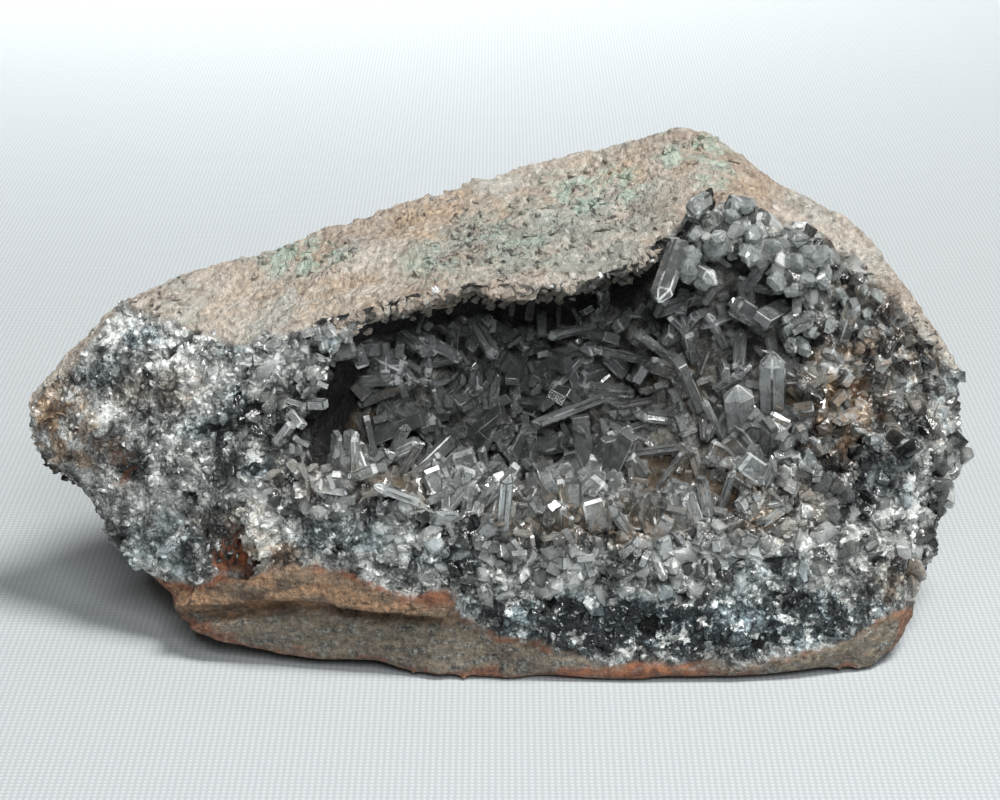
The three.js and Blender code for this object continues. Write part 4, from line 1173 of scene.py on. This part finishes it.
class CELESTINE_OT_druse(bpy.types.Operator):
    """Grows the small crystals that line the hollow"""

    bl_idname = "celestine.druse"
    bl_label = "Druse"

    def execute(self, context):
        surface = bpy.data.objects["rock_surface"]
        shapes = {
            "chisel": model_crystal(1.0, 0.9, 0.9, 0.18, 4, "chisel", 0.10),
            "blade": model_crystal(1.0, 0.9, 0.9, 0.22, 6, "slant", 0.09),
        }
        tint = tuple(looks().clear_tint)
        finishes = {
            "small_druse": clear_material("milky crystal", (0.62, 0.64, 0.62, 1), 0.72, 0.06, 0.1),
            "druse": clear_material("grey clear crystal", tint, 0.86, 0.02, 0.12),
            "druse_blades": clear_material("bright clear crystal", tint, 0.80, 0.015, 0.4),
            "apron_druse": clear_material("pale clear crystal", tint, 0.70, 0.05, 0.2),
        }
        for name, shape, zone, apart, low, high, lean, seed in STREWN_CRYSTALS:
            spacing = sizes().druse_spacing * apart
            grown = scatter(surface, shapes[shape], name, zone, spacing, low, high, lean, seed)
            finish_piece(grown, finishes[name], edges=None if name == "small_druse" else edge_material())
        for shape in shapes.values():
            bpy.data.objects.remove(shape)
        return {"FINISHED"}


class CELESTINE_OT_crystals(bpy.types.Operator):
    """Stands the chosen crystals and the scattered ones where the solids have them"""

    bl_idname = "celestine.crystals"
    bl_label = "Clear crystals"

    def execute(self, context):
        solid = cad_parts["geode_rock"]
        corners = [solid.matrix_world @ vertex.co for vertex in solid.data.vertices]
        surface = BVHTree.FromPolygons(corners, [tuple(polygon.vertices) for polygon in solid.data.polygons])

        def on_rock(u, w):
            start = EYE * MM
            hit, normal, _, _ = surface.ray_cast(start, (seen(u, w, 0) - start).normalized())
            if hit is None:
                raise RuntimeError(f"nothing is seen at {u}, {w}")
            return hit, normal, float(sighting([hit])[2][0])

        def stand(foot, pointing, turn, length, width, thick, sides, style, tone=1.0):
            if style == "chunk":
                crystal = model_chunk(length, width, thick, int(length / MM * 10))
            else:
                tip = min(0.45 * width, 0.35 * length)
                crystal = model_crystal(length, width, thick, tip, sides, style, 0.08, tone)
            rotation = pointing.normalized().to_track_quat("Z", "Y") @ Quaternion((0, 0, 1), turn)
            crystal.data.transform(Matrix.Translation(foot) @ rotation.to_matrix().to_4x4())
            return crystal

        crystals, blocks = [], []
        turns = random_from(5)
        styles = ("chisel", "slant", "chisel", "point")
        for number, (tip_u, tip_w, foot_u, foot_w, width, thick, nearer) in enumerate(CHOSEN_CRYSTALS):
            _, _, depth = on_rock(foot_u, foot_w)
            if number in MILKY_CRYSTALS:
                for part in range(CLUSTER):
                    aside, along, over, lean = (next(turns) - 0.5 for _ in range(4))
                    middle_u, middle_w = foot_u + aside * 2.2 * width, (foot_w + tip_w) / 2 + along * 9
                    foot = seen(middle_u, middle_w, depth - 2.0)
                    tip = seen(middle_u + lean * width, middle_w + over * 6, depth + 2.6 + 0.5 * nearer)
                    wide = (0.42 + 0.3 * next(turns)) * width * MM
                    style = ("chunk", "chunk", "slant")[part % 3]
                    long = (tip - foot).length
                    blocks.append(stand(foot, tip - foot, 6 * aside, long, wide, 0.8 * wide, 6, style))
                continue
            foot = seen(foot_u, foot_w, depth - 0.6)
            pointing = seen(tip_u, tip_w, depth + 4.6 + nearer) - foot
            turn = 0.9 * (next(turns) - 0.5)
            crystals.append(stand(foot, pointing, turn, pointing.length, width * MM, thick * MM,
                                  6, styles[number % 4], 0.1 if number in DARK_CRYSTALS else 1.0))
        random = random_from(23)
        for number in range(sizes().crystal_count):
            out, angle = next(random) ** 0.6, 2 * math.pi * next(random)
            length, share, turn = 5 + 6 * next(random), 0.28 + 0.24 * next(random), math.pi * next(random)
            rise, around = 2 * next(random) - 1, 2 * math.pi * next(random)
            flat = math.sqrt(1 - rise * rise)
            lean = Vector((flat * math.cos(around), flat * math.sin(around), rise))
            reach = float(mouth_reach(angle)) * out * 0.97
            hit_u = MOUTH_MIDDLE[0] + reach * math.cos(angle)
            hit_w = MOUTH_MIDDLE[1] + reach * math.sin(angle)
            foot, normal, _ = on_rock(hit_u, hit_w)
            pointing = normal + lean * 0.7 - FORWARD * 0.3
            cramped = normal.z < -0.1 or hit_w > np.interp(hit_u, LIP[:, 0], LIP[:, 1]) - 6
            cramped = cramped or from_side_pocket(hit_u, hit_w, 5.4, 12) < 1
            length = (length + 1.8) * MM * (0.45 if cramped else 1)
            width = min(0.62 * share * length, 3.0 * MM)
            style = styles[number % 2]
            crystals.append(stand(foot, pointing, turn, length, width, 0.55 * width, 4, style, share))
        crystals = join(crystals, "clear_crystals")
        clear = clear_material("clear crystal", tuple(looks().clear_tint), 0.72, 0.012, 0.3)
        finish_piece(crystals, clear, "crystal_crust", edge_material())
        blocks = join(blocks, "milky_crystals")
        milky = clear_material("milky block", (0.56, 0.61, 0.59, 1), 0.6, 0.12, 0.25)
        finish_piece(blocks, milky, edges=edge_material())
        return {"FINISHED"}


class CELESTINE_PT_panel(bpy.types.Panel):
    """Lists the steps that build the specimen"""

    bl_idname = "CELESTINE_PT_panel"
    bl_label = "Celestine Geode"
    bl_space_type = "VIEW_3D"
    bl_region_type = "UI"
    bl_category = "Celestine"

    def draw(self, context):
        for step in STEPS:
            self.layout.operator(step.bl_idname)
        for group in (context.scene.celestine_sizes, context.scene.celestine_looks):
            box = self.layout.box()
            for name in group.__annotations__:
                box.prop(group, name)


STEPS = (
    CELESTINE_OT_stage,
    CELESTINE_OT_rock,
    CELESTINE_OT_wall_grains,
    CELESTINE_OT_druse,
    CELESTINE_OT_crystals,
)
CLASSES = (SpecimenLooks, SpecimenSizes, *STEPS, CELESTINE_PT_panel)


def register():
    for cls in CLASSES:
        bpy.utils.register_class(cls)
    bpy.types.Scene.celestine_looks = PointerProperty(type=SpecimenLooks)
    bpy.types.Scene.celestine_sizes = PointerProperty(type=SpecimenSizes)


def unregister():
    del bpy.types.Scene.celestine_sizes
    del bpy.types.Scene.celestine_looks
    for cls in reversed(CLASSES):
        bpy.utils.unregister_class(cls)


def main():
    register()
    bpy.ops.celestine.stage()
    bpy.ops.celestine.rock()
    bpy.ops.celestine.wall_grains()
    bpy.ops.celestine.druse()
    bpy.ops.celestine.crystals()


if __name__ == "__main__":
    main()
